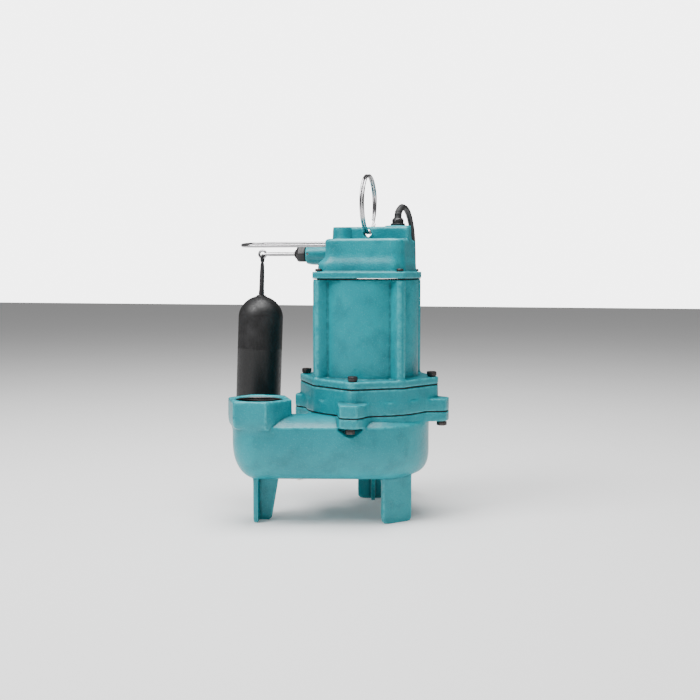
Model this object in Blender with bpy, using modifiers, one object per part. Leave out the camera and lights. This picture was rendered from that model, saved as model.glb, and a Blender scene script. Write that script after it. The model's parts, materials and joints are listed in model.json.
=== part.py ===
# Submersible sump pump with a vertical float switch, modelled as the pieces it is assembled from.
# Metres, +Z up. The shaft is vertical; the feet stand on z = 0. X runs from the switch arm to the
# opposite flange lobe. The volute casting is clocked about the shaft against the motor above it.

from math import cos, pi, radians, sin, sqrt

import bmesh
import bpy
from mathutils import Matrix, Vector

GAP = 0.0003  # between faces that touch on the real pump
GASKET = 0.0007  # thickness of each flat gasket

# Volute casting
FLOOR_CLEARANCE = 0.0546  # the legs hold the volute this far off the floor
VOLUTE_DEPTH = 0.0664  # from its underside to the parting face below the lugs
VOLUTE_TURN = radians(13.2)  # how far the volute is clocked against the motor
VOLUTE_WALL = 0.005
VOLUTE_DOME = 0.0112
DOME_REACH = 0.026
LUG = 0.0117
SPIRAL_REACH = 0.0095  # the straight front wall stands this far outside the round flange
TONGUE_SET = 0.003  # the tongue stands this far inside the throat
SPIRAL_SWEEP = radians(285)
SPIRAL_POWER = 1.75
OUTLET_SIDE = -0.1307  # axis of the discharge, which stands just behind the front wall
OUTLET_BORE = 0.029
OUTLET_WALL = 0.004
OUTLET_HEX_WALL = 0.012  # from the bore to a corner of the hexagon
OUTLET_HEX_TURN = radians(46)
OUTLET_RISE = 0.0312  # mouth above the parting face
THROAT = 0.065  # opening that the seal housing closes
THROAT_LAND = 0.014  # flange left outside the throat
INLET_BORE = 0.027
POCKET_RADIUS = 0.017
POCKET_DEPTH = 0.0145

# Legs
LEG_WIDTH = 0.041
LEG_PLATE = 0.006
LEG_RIB = 0.0055
LEG_RIB_FOOT = 0.015
LEG_RIB_HEAD = 0.024
LEG_CORNER = 0.006

# Bolts and screws
BOLT_SHANK = 0.0031
BOLT_HEAD = 0.0064  # corner radius of the hexagon
BOLT_HEAD_HEIGHT = 0.0048
BOLT_FIT = 0.0004  # radial clearance of a bolt in its hole
BOLT_LENGTH = 0.0205  # below the head
BOLT_EDGE = 0.0085  # from a bolt's axis to the tip of its lobe
SCREW_SHANK = 0.0019
SCREW_HEAD = 0.0042
SCREW_HEAD_HEIGHT = 0.0032
SCREW_GRIP = 0.014
SCREW_ROOM = 0.0014  # between a screw's head and the cap's tier

# Seal housing
LOWER_FLANGE_THICKNESS = 0.0163
COLLAR = 0.0159  # from the lower flange to the motor's seat
LONG_LOBE = 0.023  # three lobes stand this far past the round flange
SHORT_LOBE = 0.015
SPIGOT = 0.0057  # how far the spigot goes below the volute's top face
BEARING = 0.020
BEARING_HEIGHT = 0.0117
BEARING_BALL = 0.0026
BEARING_COVER = 0.0186  # from the motor's seat to the underside of the bearing
SEAL_BORE = 0.0139
SEAL_SEAT = 0.008

# Motor
BARREL = 0.0625
BARREL_WALL = 0.0062
MOTOR_FLANGE_THICKNESS = 0.0098
MOTOR_LENGTH = 0.1199
PILLAR = 0.0068
PILLAR_ROOT = 0.003  # the fillet beside a pillar starts this far out from the barrel
FLANGE_LIP = 0.001
PILLAR_OFFSET = 0.0085  # screw axis outside the barrel
MOTOR_LOBE_REACH = 0.0265  # tip of a flange lobe outside the barrel
BULKHEAD = 0.009
BULKHEAD_DEPTH = 0.0136
STATOR_BORE = 0.0308
AIR_GAP = 0.0008
WINDING_WALL = 0.0167
WINDING_LENGTH = 0.019
LEAD_WAY = 0.0253  # room for the windings below the stator
SHAFT = 0.00635
SHAFT_THREAD = 0.0047
SHAFT_STUB = 0.0123
UPPER_BEARING_WALL = 0.00435

# Impeller
IMPELLER = 0.050
IMPELLER_PLATE = 0.005
IMPELLER_VANES = 0.019  # depth of the vanes below the plate
IMPELLER_HUB = 0.011
IMPELLER_HUB_LENGTH = 0.0257
IMPELLER_GAP = 0.005  # from the spigot to the impeller
IMPELLER_RUNNING = 0.0025
VANES = 6
VANE = 0.0035
NUT_CORNER = 0.009
NUT_HEIGHT = 0.0098

# Cap
CAP_WALL = 0.006
CAP_FLANGE_THICKNESS = 0.0094
CAP_FLANGE_LIP = 0.002  # flange radius outside the barrel
CAP_CORNER = 0.0077
LOWER_TIER_HEIGHT = 0.0114
LEDGE_RISE = 0.0043
UPPER_TIER_HEIGHT = 0.024
RIB_HEIGHT = 0.0158
RIB_HALF = 0.007
TIER_INSET = 0.0075  # from the barrel's side in to the lower tier's
SIDE_INSET = 0.0125
LEDGE = 0.009
RING_HOLE = 0.005
RING_HOLE_DEPTH = 0.008  # below the rib's top
LEFT_BOSS = (-0.032, 0.0, 0.013)
CORD_BOSS = (0.034, 0.016, 0.0165)
CORD_BOSS_STEP = 0.0015
ARM_BOSS = 0.0125
ARM_BOSS_END = -0.080

# Lifting ring
RING_RADIUS = 0.03555
RING_WIRE = 0.00145
RING_PITCH = 0.0031

# Float switch
ARM_RISE = 0.022  # arm's axis above the cap's flange
ARM_PIVOT = -0.076
ARM_TIP = -0.139
ARM_ROD = 0.0025
ARM_LEVER = 0.0018
ARM_LEVER_END = -0.024
ARM_CHANNEL = 0.0075
ARM_HUB = 0.0042
PIN = 0.0015
EYE = 0.0045
EYE_WIRE = 0.0016
HOOK_WIRE = 0.0015
HOOK = 0.0044
NUT_LENGTH = 0.0115
NUT_HEX = 0.01137  # corner radius
NUT_BORE = 0.0062
BOOT = 0.0022
BOOT_ROOM = 0.0014  # for the boot to tilt in front of the nut
FLOAT_RADIUS = 0.0286
FLOAT_DROP = 0.0532  # top of the float below the arm
FLOAT_LENGTH = 0.158
FLOAT_LEAN = radians(2.2)
STEM = 0.00325
STEM_DROP = 0.009
STEM_GRIP = 0.014
GUARD_WIRE = 0.00225
GUARD_RADIUS = 0.0215
GUARD_CENTRE = -0.1430
GUARD_RISE = 0.012  # above the arm
GUARD_ROLL = radians(5)
PLUNGER = 0.002
PLUNGER_AT = -0.028
PLUNGER_LENGTH = 0.0170
SWITCH_DROP = 0.0125  # top of the switch below the arm

# Power cord
CORD = 0.00375
GLAND_FLANGE = 0.009
GLAND_THREAD = 0.0058
GLAND_NUT = 0.0068
GLAND_RISE = 0.0095
COIL_CENTRE = Vector((-0.040, 0.262))
COIL_INNER = 0.027
COIL_OUTER = 0.057
COIL_HEIGHT = 0.015
PLUG_RADIUS = 0.0125
PLUG_LENGTH = 0.034
PLUG_FACE = 0.202  # depth of the plug's face behind the shaft
BLADE = (0.0063, 0.0015, 0.017)
BLADE_SPACING = 0.0127
GROUND_PIN = 0.0024

# Heights, stacked from the floor
VOLUTE_FLOOR = FLOOR_CLEARANCE
PARTING = VOLUTE_FLOOR + VOLUTE_DEPTH
OUTLET_TOP = PARTING + OUTLET_RISE
VOLUTE_TOP = PARTING + LUG
LOWER_FLANGE_TOP = VOLUTE_TOP + LOWER_FLANGE_THICKNESS
HOUSING_SEAT = LOWER_FLANGE_TOP + COLLAR
MOTOR_FLANGE_TOP = HOUSING_SEAT + MOTOR_FLANGE_THICKNESS
HOUSING_TOP = MOTOR_FLANGE_TOP + MOTOR_LENGTH
CAP_FLANGE_TOP = HOUSING_TOP + CAP_FLANGE_THICKNESS
CAP_LEDGE = CAP_FLANGE_TOP + LOWER_TIER_HEIGHT
CAP_LEDGE_TOP = CAP_LEDGE + LEDGE_RISE
CAP_SHOULDER = CAP_LEDGE_TOP + UPPER_TIER_HEIGHT
CAP_PLATEAU = CAP_SHOULDER + RIB_HEIGHT
CORD_BOSS_TOP = CAP_PLATEAU + CORD_BOSS_STEP
GLAND_TOP = CORD_BOSS_TOP + GLAND_RISE
RING_HOLE_HEIGHT = CAP_PLATEAU - RING_HOLE_DEPTH
SPIGOT_BOTTOM = VOLUTE_TOP - SPIGOT
BEARING_BOTTOM = HOUSING_SEAT - BEARING_COVER
BEARING_TOP = BEARING_BOTTOM + BEARING_HEIGHT
SEAL_BOTTOM = BEARING_BOTTOM - SEAL_SEAT
IMPELLER_TOP = SPIGOT_BOTTOM - IMPELLER_GAP
IMPELLER_HUB_BOTTOM = IMPELLER_TOP - IMPELLER_HUB_LENGTH
SHAFT_END = IMPELLER_HUB_BOTTOM - SHAFT_STUB
BULKHEAD_BOTTOM = HOUSING_TOP - BULKHEAD_DEPTH
BULKHEAD_TOP = BULKHEAD_BOTTOM + BULKHEAD
STATOR_BOTTOM = MOTOR_FLANGE_TOP + LEAD_WAY
STATOR_TOP = BULKHEAD_BOTTOM - 0.017
SHAFT_TOP = BULKHEAD_TOP - 0.0005
ARM_HEIGHT = CAP_FLANGE_TOP + ARM_RISE
GUARD_HEIGHT = ARM_HEIGHT + GUARD_RISE
FLOAT_TOP = ARM_HEIGHT - FLOAT_DROP
STEM_TOP = ARM_HEIGHT - STEM_DROP
SWITCH_TOP = ARM_HEIGHT - SWITCH_DROP

# Radii that follow from those above
OUTLET_WALL_RADIUS = OUTLET_BORE + OUTLET_WALL
OUTLET_HEX = OUTLET_BORE + OUTLET_HEX_WALL
LOWER_FLANGE = THROAT + THROAT_LAND
SPIRAL_START = LOWER_FLANGE + SPIRAL_REACH
SPIRAL_END = THROAT - TONGUE_SET
OUTLET = Vector((OUTLET_SIDE, OUTLET_WALL_RADIUS - SPIRAL_START))
LOWER_LOBES = tuple(
    (at, LOWER_FLANGE + reach, LOWER_FLANGE + reach - BOLT_EDGE)
    for at, reach in ((0, LONG_LOBE), (90, LONG_LOBE), (180, SHORT_LOBE), (270, LONG_LOBE))
)
BARREL_BORE = BARREL - BARREL_WALL
PILLAR_CIRCLE = BARREL + PILLAR_OFFSET
MOTOR_LOBE = BARREL + MOTOR_LOBE_REACH
MOTOR_BOLT_CIRCLE = MOTOR_LOBE - BOLT_EDGE
CAP_FLANGE_RADIUS = BARREL + CAP_FLANGE_LIP
ROTOR = STATOR_BORE - AIR_GAP
WINDING_BORE = STATOR_BORE + 0.0025
UPPER_BEARING = SHAFT + GAP + UPPER_BEARING_WALL
BEARING_RACEWAY = (SHAFT + GAP + BEARING) / 2  # circle that the balls run on
TIER_CORNER = 2 * BARREL - TIER_INSET - 0.0015 - SIDE_INSET - sqrt(2) * (PILLAR_CIRCLE - SCREW_HEAD - SCREW_ROOM)
LOWER_TIER = (
    TIER_INSET - BARREL, BARREL - TIER_INSET - 0.001, SIDE_INSET - BARREL, BARREL - SIDE_INSET, TIER_CORNER,
)  # X from, to, Y from, to, corner cut
UPPER_TIER = (
    LOWER_TIER[0] + LEDGE, LOWER_TIER[1] - 0.0015, LOWER_TIER[2] + 0.004, LOWER_TIER[3] - 0.004,
    TIER_CORNER - 0.003,
)
RIB_FROM = UPPER_TIER[0] + 0.001
GUARD_END = UPPER_TIER[0] + 0.0055  # the wire stops inside the cap's wall
RIB_TO = UPPER_TIER[1] - 0.0005

# The free part of the cord from the gland to the coil, as chosen points. The first ones are in the
# motor's frame; those near the floor are in the volute's frame, as the coil is.
CORD_UPPER = (
    (0.0340, 0.0160, 0.3480),
    (0.0340, 0.0160, 0.3580),
    (0.0340, 0.0160, 0.3680),
    (0.0345, 0.0196, 0.3775),
    (0.0362, 0.0310, 0.3850),
    (0.0383, 0.0465, 0.3835),
    (0.0400, 0.0600, 0.3745),
    (0.0413, 0.0700, 0.3590),
    (0.0420, 0.0755, 0.3380),
    (0.0422, 0.0775, 0.3100),
    (0.0425, 0.0785, 0.2600),
    (0.0430, 0.0805, 0.2000),
    (0.0440, 0.0850, 0.1400),
)
CORD_LOWER = (
    (0.0640, 0.0800, 0.0850),
    (0.0610, 0.0960, 0.0520),
    (0.0540, 0.1180, 0.0290),
    (0.0430, 0.1450, 0.0140),
    (0.0320, 0.1740, 0.0063),
    (0.0245, 0.2030, 0.0041),
    (0.0213, 0.2320, 0.0038),
    (0.02105, 0.2600, 0.0038),
)

STEPS = 36  # facets around a large round piece
SMALL_STEPS = 24

FINISHES = {
    "enamel_turquoise": ((0.05, 0.45, 0.56), 0.38, 0.0),
    "steel_bright": ((0.62, 0.62, 0.60), 0.28, 1.0),
    "steel_dark": ((0.09, 0.085, 0.09), 0.42, 0.9),
    "rubber_black": ((0.018, 0.018, 0.020), 0.62, 0.0),
    "plastic_black": ((0.028, 0.026, 0.028), 0.48, 0.0),
    "gasket_black": ((0.012, 0.012, 0.012), 0.8, 0.0),
    "copper": ((0.62, 0.27, 0.11), 0.35, 1.0),
    "lamination": ((0.28, 0.28, 0.30), 0.45, 0.9),
    "bronze": ((0.45, 0.30, 0.12), 0.35, 1.0),
    "ceramic": ((0.78, 0.76, 0.70), 0.3, 0.0),
    "brass": ((0.70, 0.52, 0.22), 0.3, 1.0),
}


def start():
    for obj in list(bpy.data.objects):
        bpy.data.objects.remove(obj)
    made = {}
    for name in ("Sump pump", "Cutters"):
        made[name] = bpy.data.collections.new(name)
        bpy.context.scene.collection.children.link(made[name])
    return made["Sump pump"], made["Cutters"]


def make_materials():
    made = {}
    for name, (color, roughness, metallic) in FINISHES.items():
        material = bpy.data.materials.new(name)
        material.use_nodes = True
        shader = material.node_tree.nodes["Principled BSDF"]
        shader.inputs["Base Color"].default_value = (*color, 1)
        shader.inputs["Roughness"].default_value = roughness
        shader.inputs["Metallic"].default_value = metallic
        made[name] = material
    return made


PARTS, CUTTERS = start()
MATERIALS = make_materials()


def empty(name, location=(0, 0, 0), turn=0.0, parent=None):
    obj = bpy.data.objects.new(name, None)
    obj.location = location
    obj.rotation_euler = (0, 0, turn)
    obj.parent = parent
    PARTS.objects.link(obj)
    return obj


PUMP = empty("Pump")
CASTING = empty("Volute frame", turn=VOLUTE_TURN, parent=PUMP)


def place(name, data, finish, parent, location=(0, 0, 0), rotation=(0, 0, 0)):
    obj = bpy.data.objects.new(name, data)
    obj.location = location
    obj.rotation_euler = rotation
    obj.parent = parent or PUMP
    if finish and not data.materials:
        data.materials.append(MATERIALS[finish])
    PARTS.objects.link(obj)
    return obj


def smooth(mesh):
    mesh.shade_smooth()
    mesh.set_sharp_from_angle(angle=radians(35))


def mesh_from(name, bm):
    mesh = bpy.data.meshes.new(name)
    bmesh.ops.recalc_face_normals(bm, faces=bm.faces)
    bm.to_mesh(mesh)
    bm.free()
    smooth(mesh)
    return mesh


def box(name, low, high, finish=None, parent=None):
    bm = bmesh.new()
    centre = (Vector(low) + Vector(high)) / 2
    size = Vector(high) - Vector(low)
    bmesh.ops.create_cube(bm, size=1, matrix=Matrix.Translation(centre) @ Matrix.Diagonal((*size, 1)))
    return place(name, mesh_from(name, bm), finish, parent)


def rod(name, radius, start_point, end_point, finish=None, parent=None, sides=SMALL_STEPS, end_radius=None):
    start_point, end_point = Vector(start_point), Vector(end_point)
    along = end_point - start_point
    turn = along.to_track_quat("Z", "Y").to_matrix().to_4x4()
    matrix = Matrix.Translation((start_point + end_point) / 2) @ turn
    bm = bmesh.new()
    bmesh.ops.create_cone(
        bm,
        cap_ends=True,
        segments=sides,
        radius1=radius,
        radius2=radius if end_radius is None else end_radius,
        depth=along.length,
        matrix=matrix,
    )
    return place(name, mesh_from(name, bm), finish, parent)


def upright(name, radius, bottom, top, finish=None, parent=None, at=(0, 0), sides=STEPS, top_radius=None):
    return rod(name, radius, (*at, bottom), (*at, top), finish, parent, sides, top_radius)


def turned(name, profile, finish=None, parent=None, at=(0, 0, 0), turn=(0, 0, 0), steps=STEPS):
    # The profile is (radius, height) from the top, down the outside; it closes up the bore if there is one
    mesh = bpy.data.meshes.new(name)
    solid = profile[0][0] == 0 and profile[-1][0] == 0
    edges = [(i, i + 1) for i in range(len(profile) - 1)]
    if not solid:
        edges.append((len(profile) - 1, 0))
    mesh.from_pydata([(radius, 0, height) for radius, height in profile], edges, [])
    obj = place(name, mesh, finish, parent, at, turn)
    screw = obj.modifiers.new("Turn", "SCREW")
    screw.axis = "Z"
    screw.steps = steps
    screw.render_steps = steps
    screw.use_merge_vertices = True
    screw.merge_threshold = 1e-6
    return obj


def ring(name, inner, outer, bottom, top, finish=None, parent=None, steps=STEPS):
    profile = [(inner, top), (outer, top), (outer, bottom), (inner, bottom)]
    return turned(name, profile, finish, parent, steps=steps)


def as_mesh(obj):
    # The object's evaluated shape as a plain, welded mesh under the same name
    bpy.context.view_layer.update()
    evaluated = obj.evaluated_get(bpy.context.evaluated_depsgraph_get())
    mesh = bpy.data.meshes.new_from_object(evaluated)
    bm = bmesh.new()
    bm.from_mesh(mesh)
    bmesh.ops.remove_doubles(bm, verts=bm.verts, dist=1e-6)
    bmesh.ops.recalc_face_normals(bm, faces=bm.faces)
    bm.to_mesh(mesh)
    bm.free()
    smooth(mesh)
    name, parent, location, rotation = obj.name, obj.parent, obj.location.copy(), obj.rotation_euler.copy()
    bpy.data.objects.remove(obj)
    mesh.name = name
    return place(name, mesh, None, parent, location, rotation)


def extruded(name, outline, bottom, top, finish=None, parent=None):
    curve = bpy.data.curves.new(name, "CURVE")
    curve.dimensions = "2D"
    curve.fill_mode = "BOTH"
    curve.extrude = (top - bottom) / 2
    spline = curve.splines.new("POLY")
    spline.points.add(len(outline) - 1)
    for point, (x, y) in zip(spline.points, outline):
        point.co = (x, y, 0, 1)
    spline.use_cyclic_u = True
    obj = as_mesh(place(name, curve, finish, parent, (0, 0, (bottom + top) / 2)))
    return obj


def wire(name, points, radius, finish, parent=None, cyclic=False, resolution=2, location=(0, 0, 0)):
    curve = bpy.data.curves.new(name, "CURVE")
    curve.dimensions = "3D"
    curve.bevel_depth = radius
    curve.bevel_resolution = resolution
    curve.use_fill_caps = not cyclic
    spline = curve.splines.new("POLY")
    spline.points.add(len(points) - 1)
    for point, place_at in zip(spline.points, points):
        point.co = (*place_at, 1)
    spline.use_cyclic_u = cyclic
    return place(name, curve, finish, parent, location)


def hide(obj):
    obj.hide_render = True
    obj.display_type = "WIRE"
    CUTTERS.objects.link(obj)
    PARTS.objects.unlink(obj)


def boolean(target, tools, operation):
    for tool in tools:
        modifier = target.modifiers.new(tool.name, "BOOLEAN")
        modifier.operation = operation
        modifier.solver = "EXACT"
        modifier.object = tool
        hide(tool)
    return target


def join(target, *tools):
    return boolean(target, tools, "UNION")


def cut(target, *tools):
    return boolean(target, tools, "DIFFERENCE")


def round_edges(obj, width, segments=2, angle=30):
    bevel = obj.modifiers.new("Rounded edges", "BEVEL")
    bevel.width = width
    bevel.segments = segments
    bevel.limit_method = "ANGLE"
    bevel.angle_limit = radians(angle)
    return obj


def loft(name, rings, finish=None, parent=None):
    # Closed skin through rings of equally many points, from the bottom ring to the top one
    bm = bmesh.new()
    made = [[bm.verts.new(point) for point in points] for points in rings]
    count = len(rings[0])
    for lower, upper in zip(made, made[1:]):
        for i in range(count):
            j = (i + 1) % count
            bm.faces.new((lower[i], lower[j], upper[j], upper[i]))
    bm.faces.new(reversed(made[0]))
    bm.faces.new(made[-1])
    return place(name, mesh_from(name, bm), finish, parent)


def polar(radius, angle):
    return Vector((radius * cos(angle), radius * sin(angle)))


def fade(value):
    value = min(max(value, 0.0), 1.0)
    return value * value * (3 - 2 * value)


def angle_between(a, b):
    return abs((a - b + pi) % (2 * pi) - pi)


def circle_reach(angle, centre_angle, centre_radius, radius):
    # How far a ray from the shaft axis reaches into a circle that stands off the axis
    off = angle_between(angle, centre_angle)
    across = centre_radius * sin(off)
    if off > pi / 2 or across >= radius:
        return 0.0
    return centre_radius * cos(off) + sqrt(radius * radius - across * across)


def lobe_reach(angle, base, centre_angle, tip, inner, outer):
    off = angle_between(angle, centre_angle)
    return base + (tip - base) * fade((outer - off) / (outer - inner))


def ring_of(reach, features, spread, count):
    # Points on a coarse, even circle, and closer ones on both sides of each lobe or pillar
    angles = [2 * pi * (i + 0.5) / count for i in range(count)]
    for at in features:
        angles = [angle for angle in angles if angle_between(angle, at) > radians(spread[-1] + 1.5)]
    for at in features:
        angles += [(at + side * radians(off)) % (2 * pi) for off in spread for side in (-1, 1)]
    return [polar(reach(angle), angle) for angle in sorted(angles)]


def quarter_turns(offset=0.0):
    return [offset + i * pi / 2 for i in range(4)]


def skin_round(rounds, inset, count):
    # Convex skin round circles given as (centre, radius): straight sides between them
    outline = []
    for i in range(count):
        out = polar(1, 2 * pi * (i + 0.5) / count)
        centre, radius = max(rounds, key=lambda item: item[0].dot(out) + item[1])
        outline.append(centre + out * (radius - inset))
    return outline


def lower_flange_outline(turn=0.0, inset=0.0):
    def reach(angle):
        lobes = [
            lobe_reach(angle, LOWER_FLANGE, radians(at) - turn, tip, radians(4.5), radians(16))
            for at, tip, _ in LOWER_LOBES
        ]
        return max(lobes) - inset

    return ring_of(reach, [angle - turn for angle in quarter_turns()], (3, 6, 9, 12.5, 16), 28)


def barrel_reach(angle):
    pillars = [lobe_reach(angle, BARREL, at, BARREL + PILLAR_ROOT, radians(5.5), radians(8)) for at in quarter_turns(pi / 4)]
    rounds = [circle_reach(angle, at, PILLAR_CIRCLE, PILLAR) for at in quarter_turns(pi / 4)]
    return max(pillars + rounds)


def motor_flange_outline(inset=0.0):
    rounds = [(Vector((0, 0)), BARREL + 0.003)]
    rounds += [(polar(MOTOR_BOLT_CIRCLE, at), BOLT_EDGE) for at in quarter_turns()]
    rounds += [(polar(PILLAR_CIRCLE, at), PILLAR + FLANGE_LIP) for at in quarter_turns(pi / 4)]
    return skin_round(rounds, inset, 76)


def barrel_outline():
    return ring_of(barrel_reach, quarter_turns(pi / 4), (1.6, 3.4, 4.7, 5.4, 6.6, 8), 44)


def cap_flange_outline(inset=0.0):
    rounds = [(Vector((0, 0)), CAP_FLANGE_RADIUS)]
    rounds += [(polar(PILLAR_CIRCLE, at), CAP_CORNER) for at in quarter_turns(pi / 4)]
    return skin_round(rounds, inset, 52)


def cut_rectangle(sides, inset, height):
    left, right, front, back, corner = sides
    left, right, front, back = left + inset, right - inset, front + inset, back - inset
    corners = (
        (left + corner, front), (right - corner, front), (right, front + corner), (right, back - corner),
        (right - corner, back), (left + corner, back), (left, back - corner), (left, front + corner),
    )
    return [(x, y, height) for x, y in corners]


# Volute


def spiral_radius(swept):
    return SPIRAL_END + (SPIRAL_START - SPIRAL_END) * (1 - swept / SPIRAL_SWEEP) ** SPIRAL_POWER


def volute_outline():
    # Anticlockwise from above: front wall, spiral, tongue, back wall of the outlet, its round end.
    # Each point carries how deep its lower edge is rounded, from 0 round the spiral to 1 at the outlet.
    front = -SPIRAL_START
    points = [(Vector((x, front)), 1.0) for x in (-0.105, -0.080, -0.055, -0.032, -0.012)]
    steps = 32
    for i in range(steps + 1):
        swept = SPIRAL_SWEEP * i / steps
        depth = max(0.0, 1 - swept / radians(95))
        points.append((polar(spiral_radius(swept), -pi / 2 + swept), depth))
    back = OUTLET.y + OUTLET_WALL_RADIUS
    points += [(Vector((x, back - (x - OUTLET.x) * 0.02)), 0.9) for x in (-0.084, -0.108)]
    for i in range(12):
        points.append((OUTLET + polar(OUTLET_WALL_RADIUS, pi / 2 + pi * i / 11), 1.0))
    return points


def outward(points):
    normals = []
    for i, (point, _) in enumerate(points):
        along = points[(i + 1) % len(points)][0] - points[i - 1][0]
        normals.append(Vector((along.y, -along.x)).normalized())
    return normals


def volute_body(name, inset, floor, parting, dome):
    # Rounded below, a sharp parting edge, and a shallow dome above it
    points = volute_outline()
    normals = outward(points)
    rings = []
    for step in range(6):
        turn = pi / 2 * step / 5
        line = []
        for (point, depth), normal in zip(points, normals):
            across = (0.015 + 0.013 * depth) - inset * 0.6
            rise = (0.021 + 0.021 * depth) - inset * 0.6
            at = point - normal * (inset + across * (1 - sin(turn)))
            line.append((at.x, at.y, floor + rise * (1 - cos(turn))))
        rings.append(line)
    for step in range(5):
        share = step / 4
        line = []
        for (point, _), normal in zip(points, normals):
            at = point - normal * (inset + DOME_REACH * share)
            line.append((at.x, at.y, parting + dome * (1 - (1 - share) ** 2)))
        rings.append(line)
    return loft(name, rings, "enamel_turquoise", CASTING)


def leg(name, middle, facing, top):
    # A T-section leg: the plate faces out, the rib runs inwards and widens upwards
    half = LEG_WIDTH / 2
    outline = [(-half, top), (-half, LEG_CORNER)]
    outline += [(LEG_CORNER - half - LEG_CORNER * cos(t), LEG_CORNER - LEG_CORNER * sin(t)) for t in
                (radians(30), radians(60))]
    outline += [(LEG_CORNER - half, 0), (half - LEG_CORNER, 0)]
    outline += [(half - LEG_CORNER + LEG_CORNER * sin(t), LEG_CORNER - LEG_CORNER * cos(t)) for t in
                (radians(30), radians(60))]
    outline += [(half, LEG_CORNER), (half, top)]
    plate = extruded(name, outline, -LEG_PLATE, 0, "enamel_turquoise", CASTING)
    facing_out = Matrix.Rotation(facing + pi / 2, 4, "Z") @ Matrix.Rotation(pi / 2, 4, "X")
    plate.data.transform(Matrix.Translation((0, 0, -LEG_PLATE / 2)))
    plate.matrix_local = Matrix.Translation((*middle, 0)) @ facing_out
    rib_outline = [(-0.001, 0), (LEG_RIB_FOOT - 0.003, 0), (LEG_RIB_FOOT, 0.003), (LEG_RIB_HEAD, VOLUTE_FLOOR),
                   (LEG_RIB_HEAD, top), (-0.001, top)]
    rib = extruded(name + " rib", rib_outline, -LEG_RIB / 2, LEG_RIB / 2, "enamel_turquoise", CASTING)
    rib.data.transform(Matrix.Rotation(pi / 2, 4, "X"))
    rib.matrix_local = (
        Matrix.Translation((*middle, 0)) @ Matrix.Rotation(facing + pi, 4, "Z")
        @ Matrix.Translation((LEG_PLATE, 0, 0))
    )
    return plate, rib


def bolt_places():
    return [polar(circle, radians(at) - VOLUTE_TURN) for at, _, circle in LOWER_LOBES]


def make_volute():
    body = volute_body("volute_casing", 0, VOLUTE_FLOOR, PARTING, VOLUTE_DOME)
    lugs = extruded("Lugs", lower_flange_outline(VOLUTE_TURN), PARTING, VOLUTE_TOP, None, CASTING)
    hexagon = [
        (0, OUTLET_TOP), (OUTLET_HEX - 0.0015, OUTLET_TOP), (OUTLET_HEX, OUTLET_TOP - 0.0013),
        (OUTLET_HEX, PARTING + 0.0015), (OUTLET_HEX - 0.003, PARTING - 0.0022), (0, PARTING - 0.0022),
    ]
    boss = as_mesh(turned("Outlet boss", hexagon, None, CASTING, (*OUTLET, 0), (0, 0, OUTLET_HEX_TURN), 6))
    join(body, lugs, boss)
    places = (
        ("Left leg", Vector((-0.139, -0.0405)), pi, VOLUTE_FLOOR + 0.0134),
        ("Front leg", Vector((0.0360, -0.0550)), radians(-59.5), VOLUTE_FLOOR + 0.0234),
        ("Back leg", Vector((0.0068, 0.0790)), pi / 2, VOLUTE_FLOOR + 0.0274),
    )
    for name, middle, facing, top in places:
        join(body, *leg(name, middle, facing, top))
    front_bolt = bolt_places()[3]
    cavity = volute_body("Passage", VOLUTE_WALL, VOLUTE_FLOOR + VOLUTE_WALL, PARTING - VOLUTE_WALL, VOLUTE_DOME)
    cut(cavity, upright("Pocket wall", 0.004, PARTING - POCKET_DEPTH - 0.006, PARTING + 0.010, at=front_bolt,
                        parent=CASTING, sides=24, top_radius=POCKET_RADIUS + 0.008))
    cut(
        body,
        cavity,
        upright("Throat", THROAT, SPIGOT_BOTTOM - GAP, VOLUTE_TOP + 0.001, parent=CASTING, sides=48),
        upright("Impeller way", IMPELLER + IMPELLER_RUNNING, (VOLUTE_FLOOR + PARTING) / 2, SPIGOT_BOTTOM,
                parent=CASTING, sides=48),
        upright("Inlet", INLET_BORE, VOLUTE_FLOOR - 0.002, VOLUTE_FLOOR + 0.008, parent=CASTING),
        upright("Outlet bore", OUTLET_BORE, (VOLUTE_FLOOR + PARTING) / 2, OUTLET_TOP + 0.001, parent=CASTING,
                at=OUTLET),
        upright("Outlet mouth", OUTLET_BORE - 0.0005, OUTLET_TOP - 0.003, OUTLET_TOP + 0.0005, parent=CASTING,
                at=OUTLET, top_radius=OUTLET_BORE + 0.0025),
        upright("Pocket", 0.0005, PARTING - POCKET_DEPTH, PARTING, parent=CASTING, at=front_bolt, sides=24,
                top_radius=POCKET_RADIUS),
    )
    for at in bolt_places():
        cut(body, upright("Lug hole", BOLT_SHANK + BOLT_FIT, PARTING - 0.001, VOLUTE_TOP + 0.001, parent=CASTING,
                          at=at, sides=8))


# Bolts and screws


def bolt_mesh(name, head, head_height, shank, length, steps, finish):
    profile = [(0, head_height), (head * 0.86, head_height), (head, head_height * 0.8), (head, 0), (0, 0)]
    top = as_mesh(turned(name, profile, finish, steps=steps))
    join(top, upright(name + " shank", shank, -length, head_height / 2, sides=12))
    made = as_mesh(top)
    mesh = made.data
    bpy.data.objects.remove(made)
    return mesh


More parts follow.
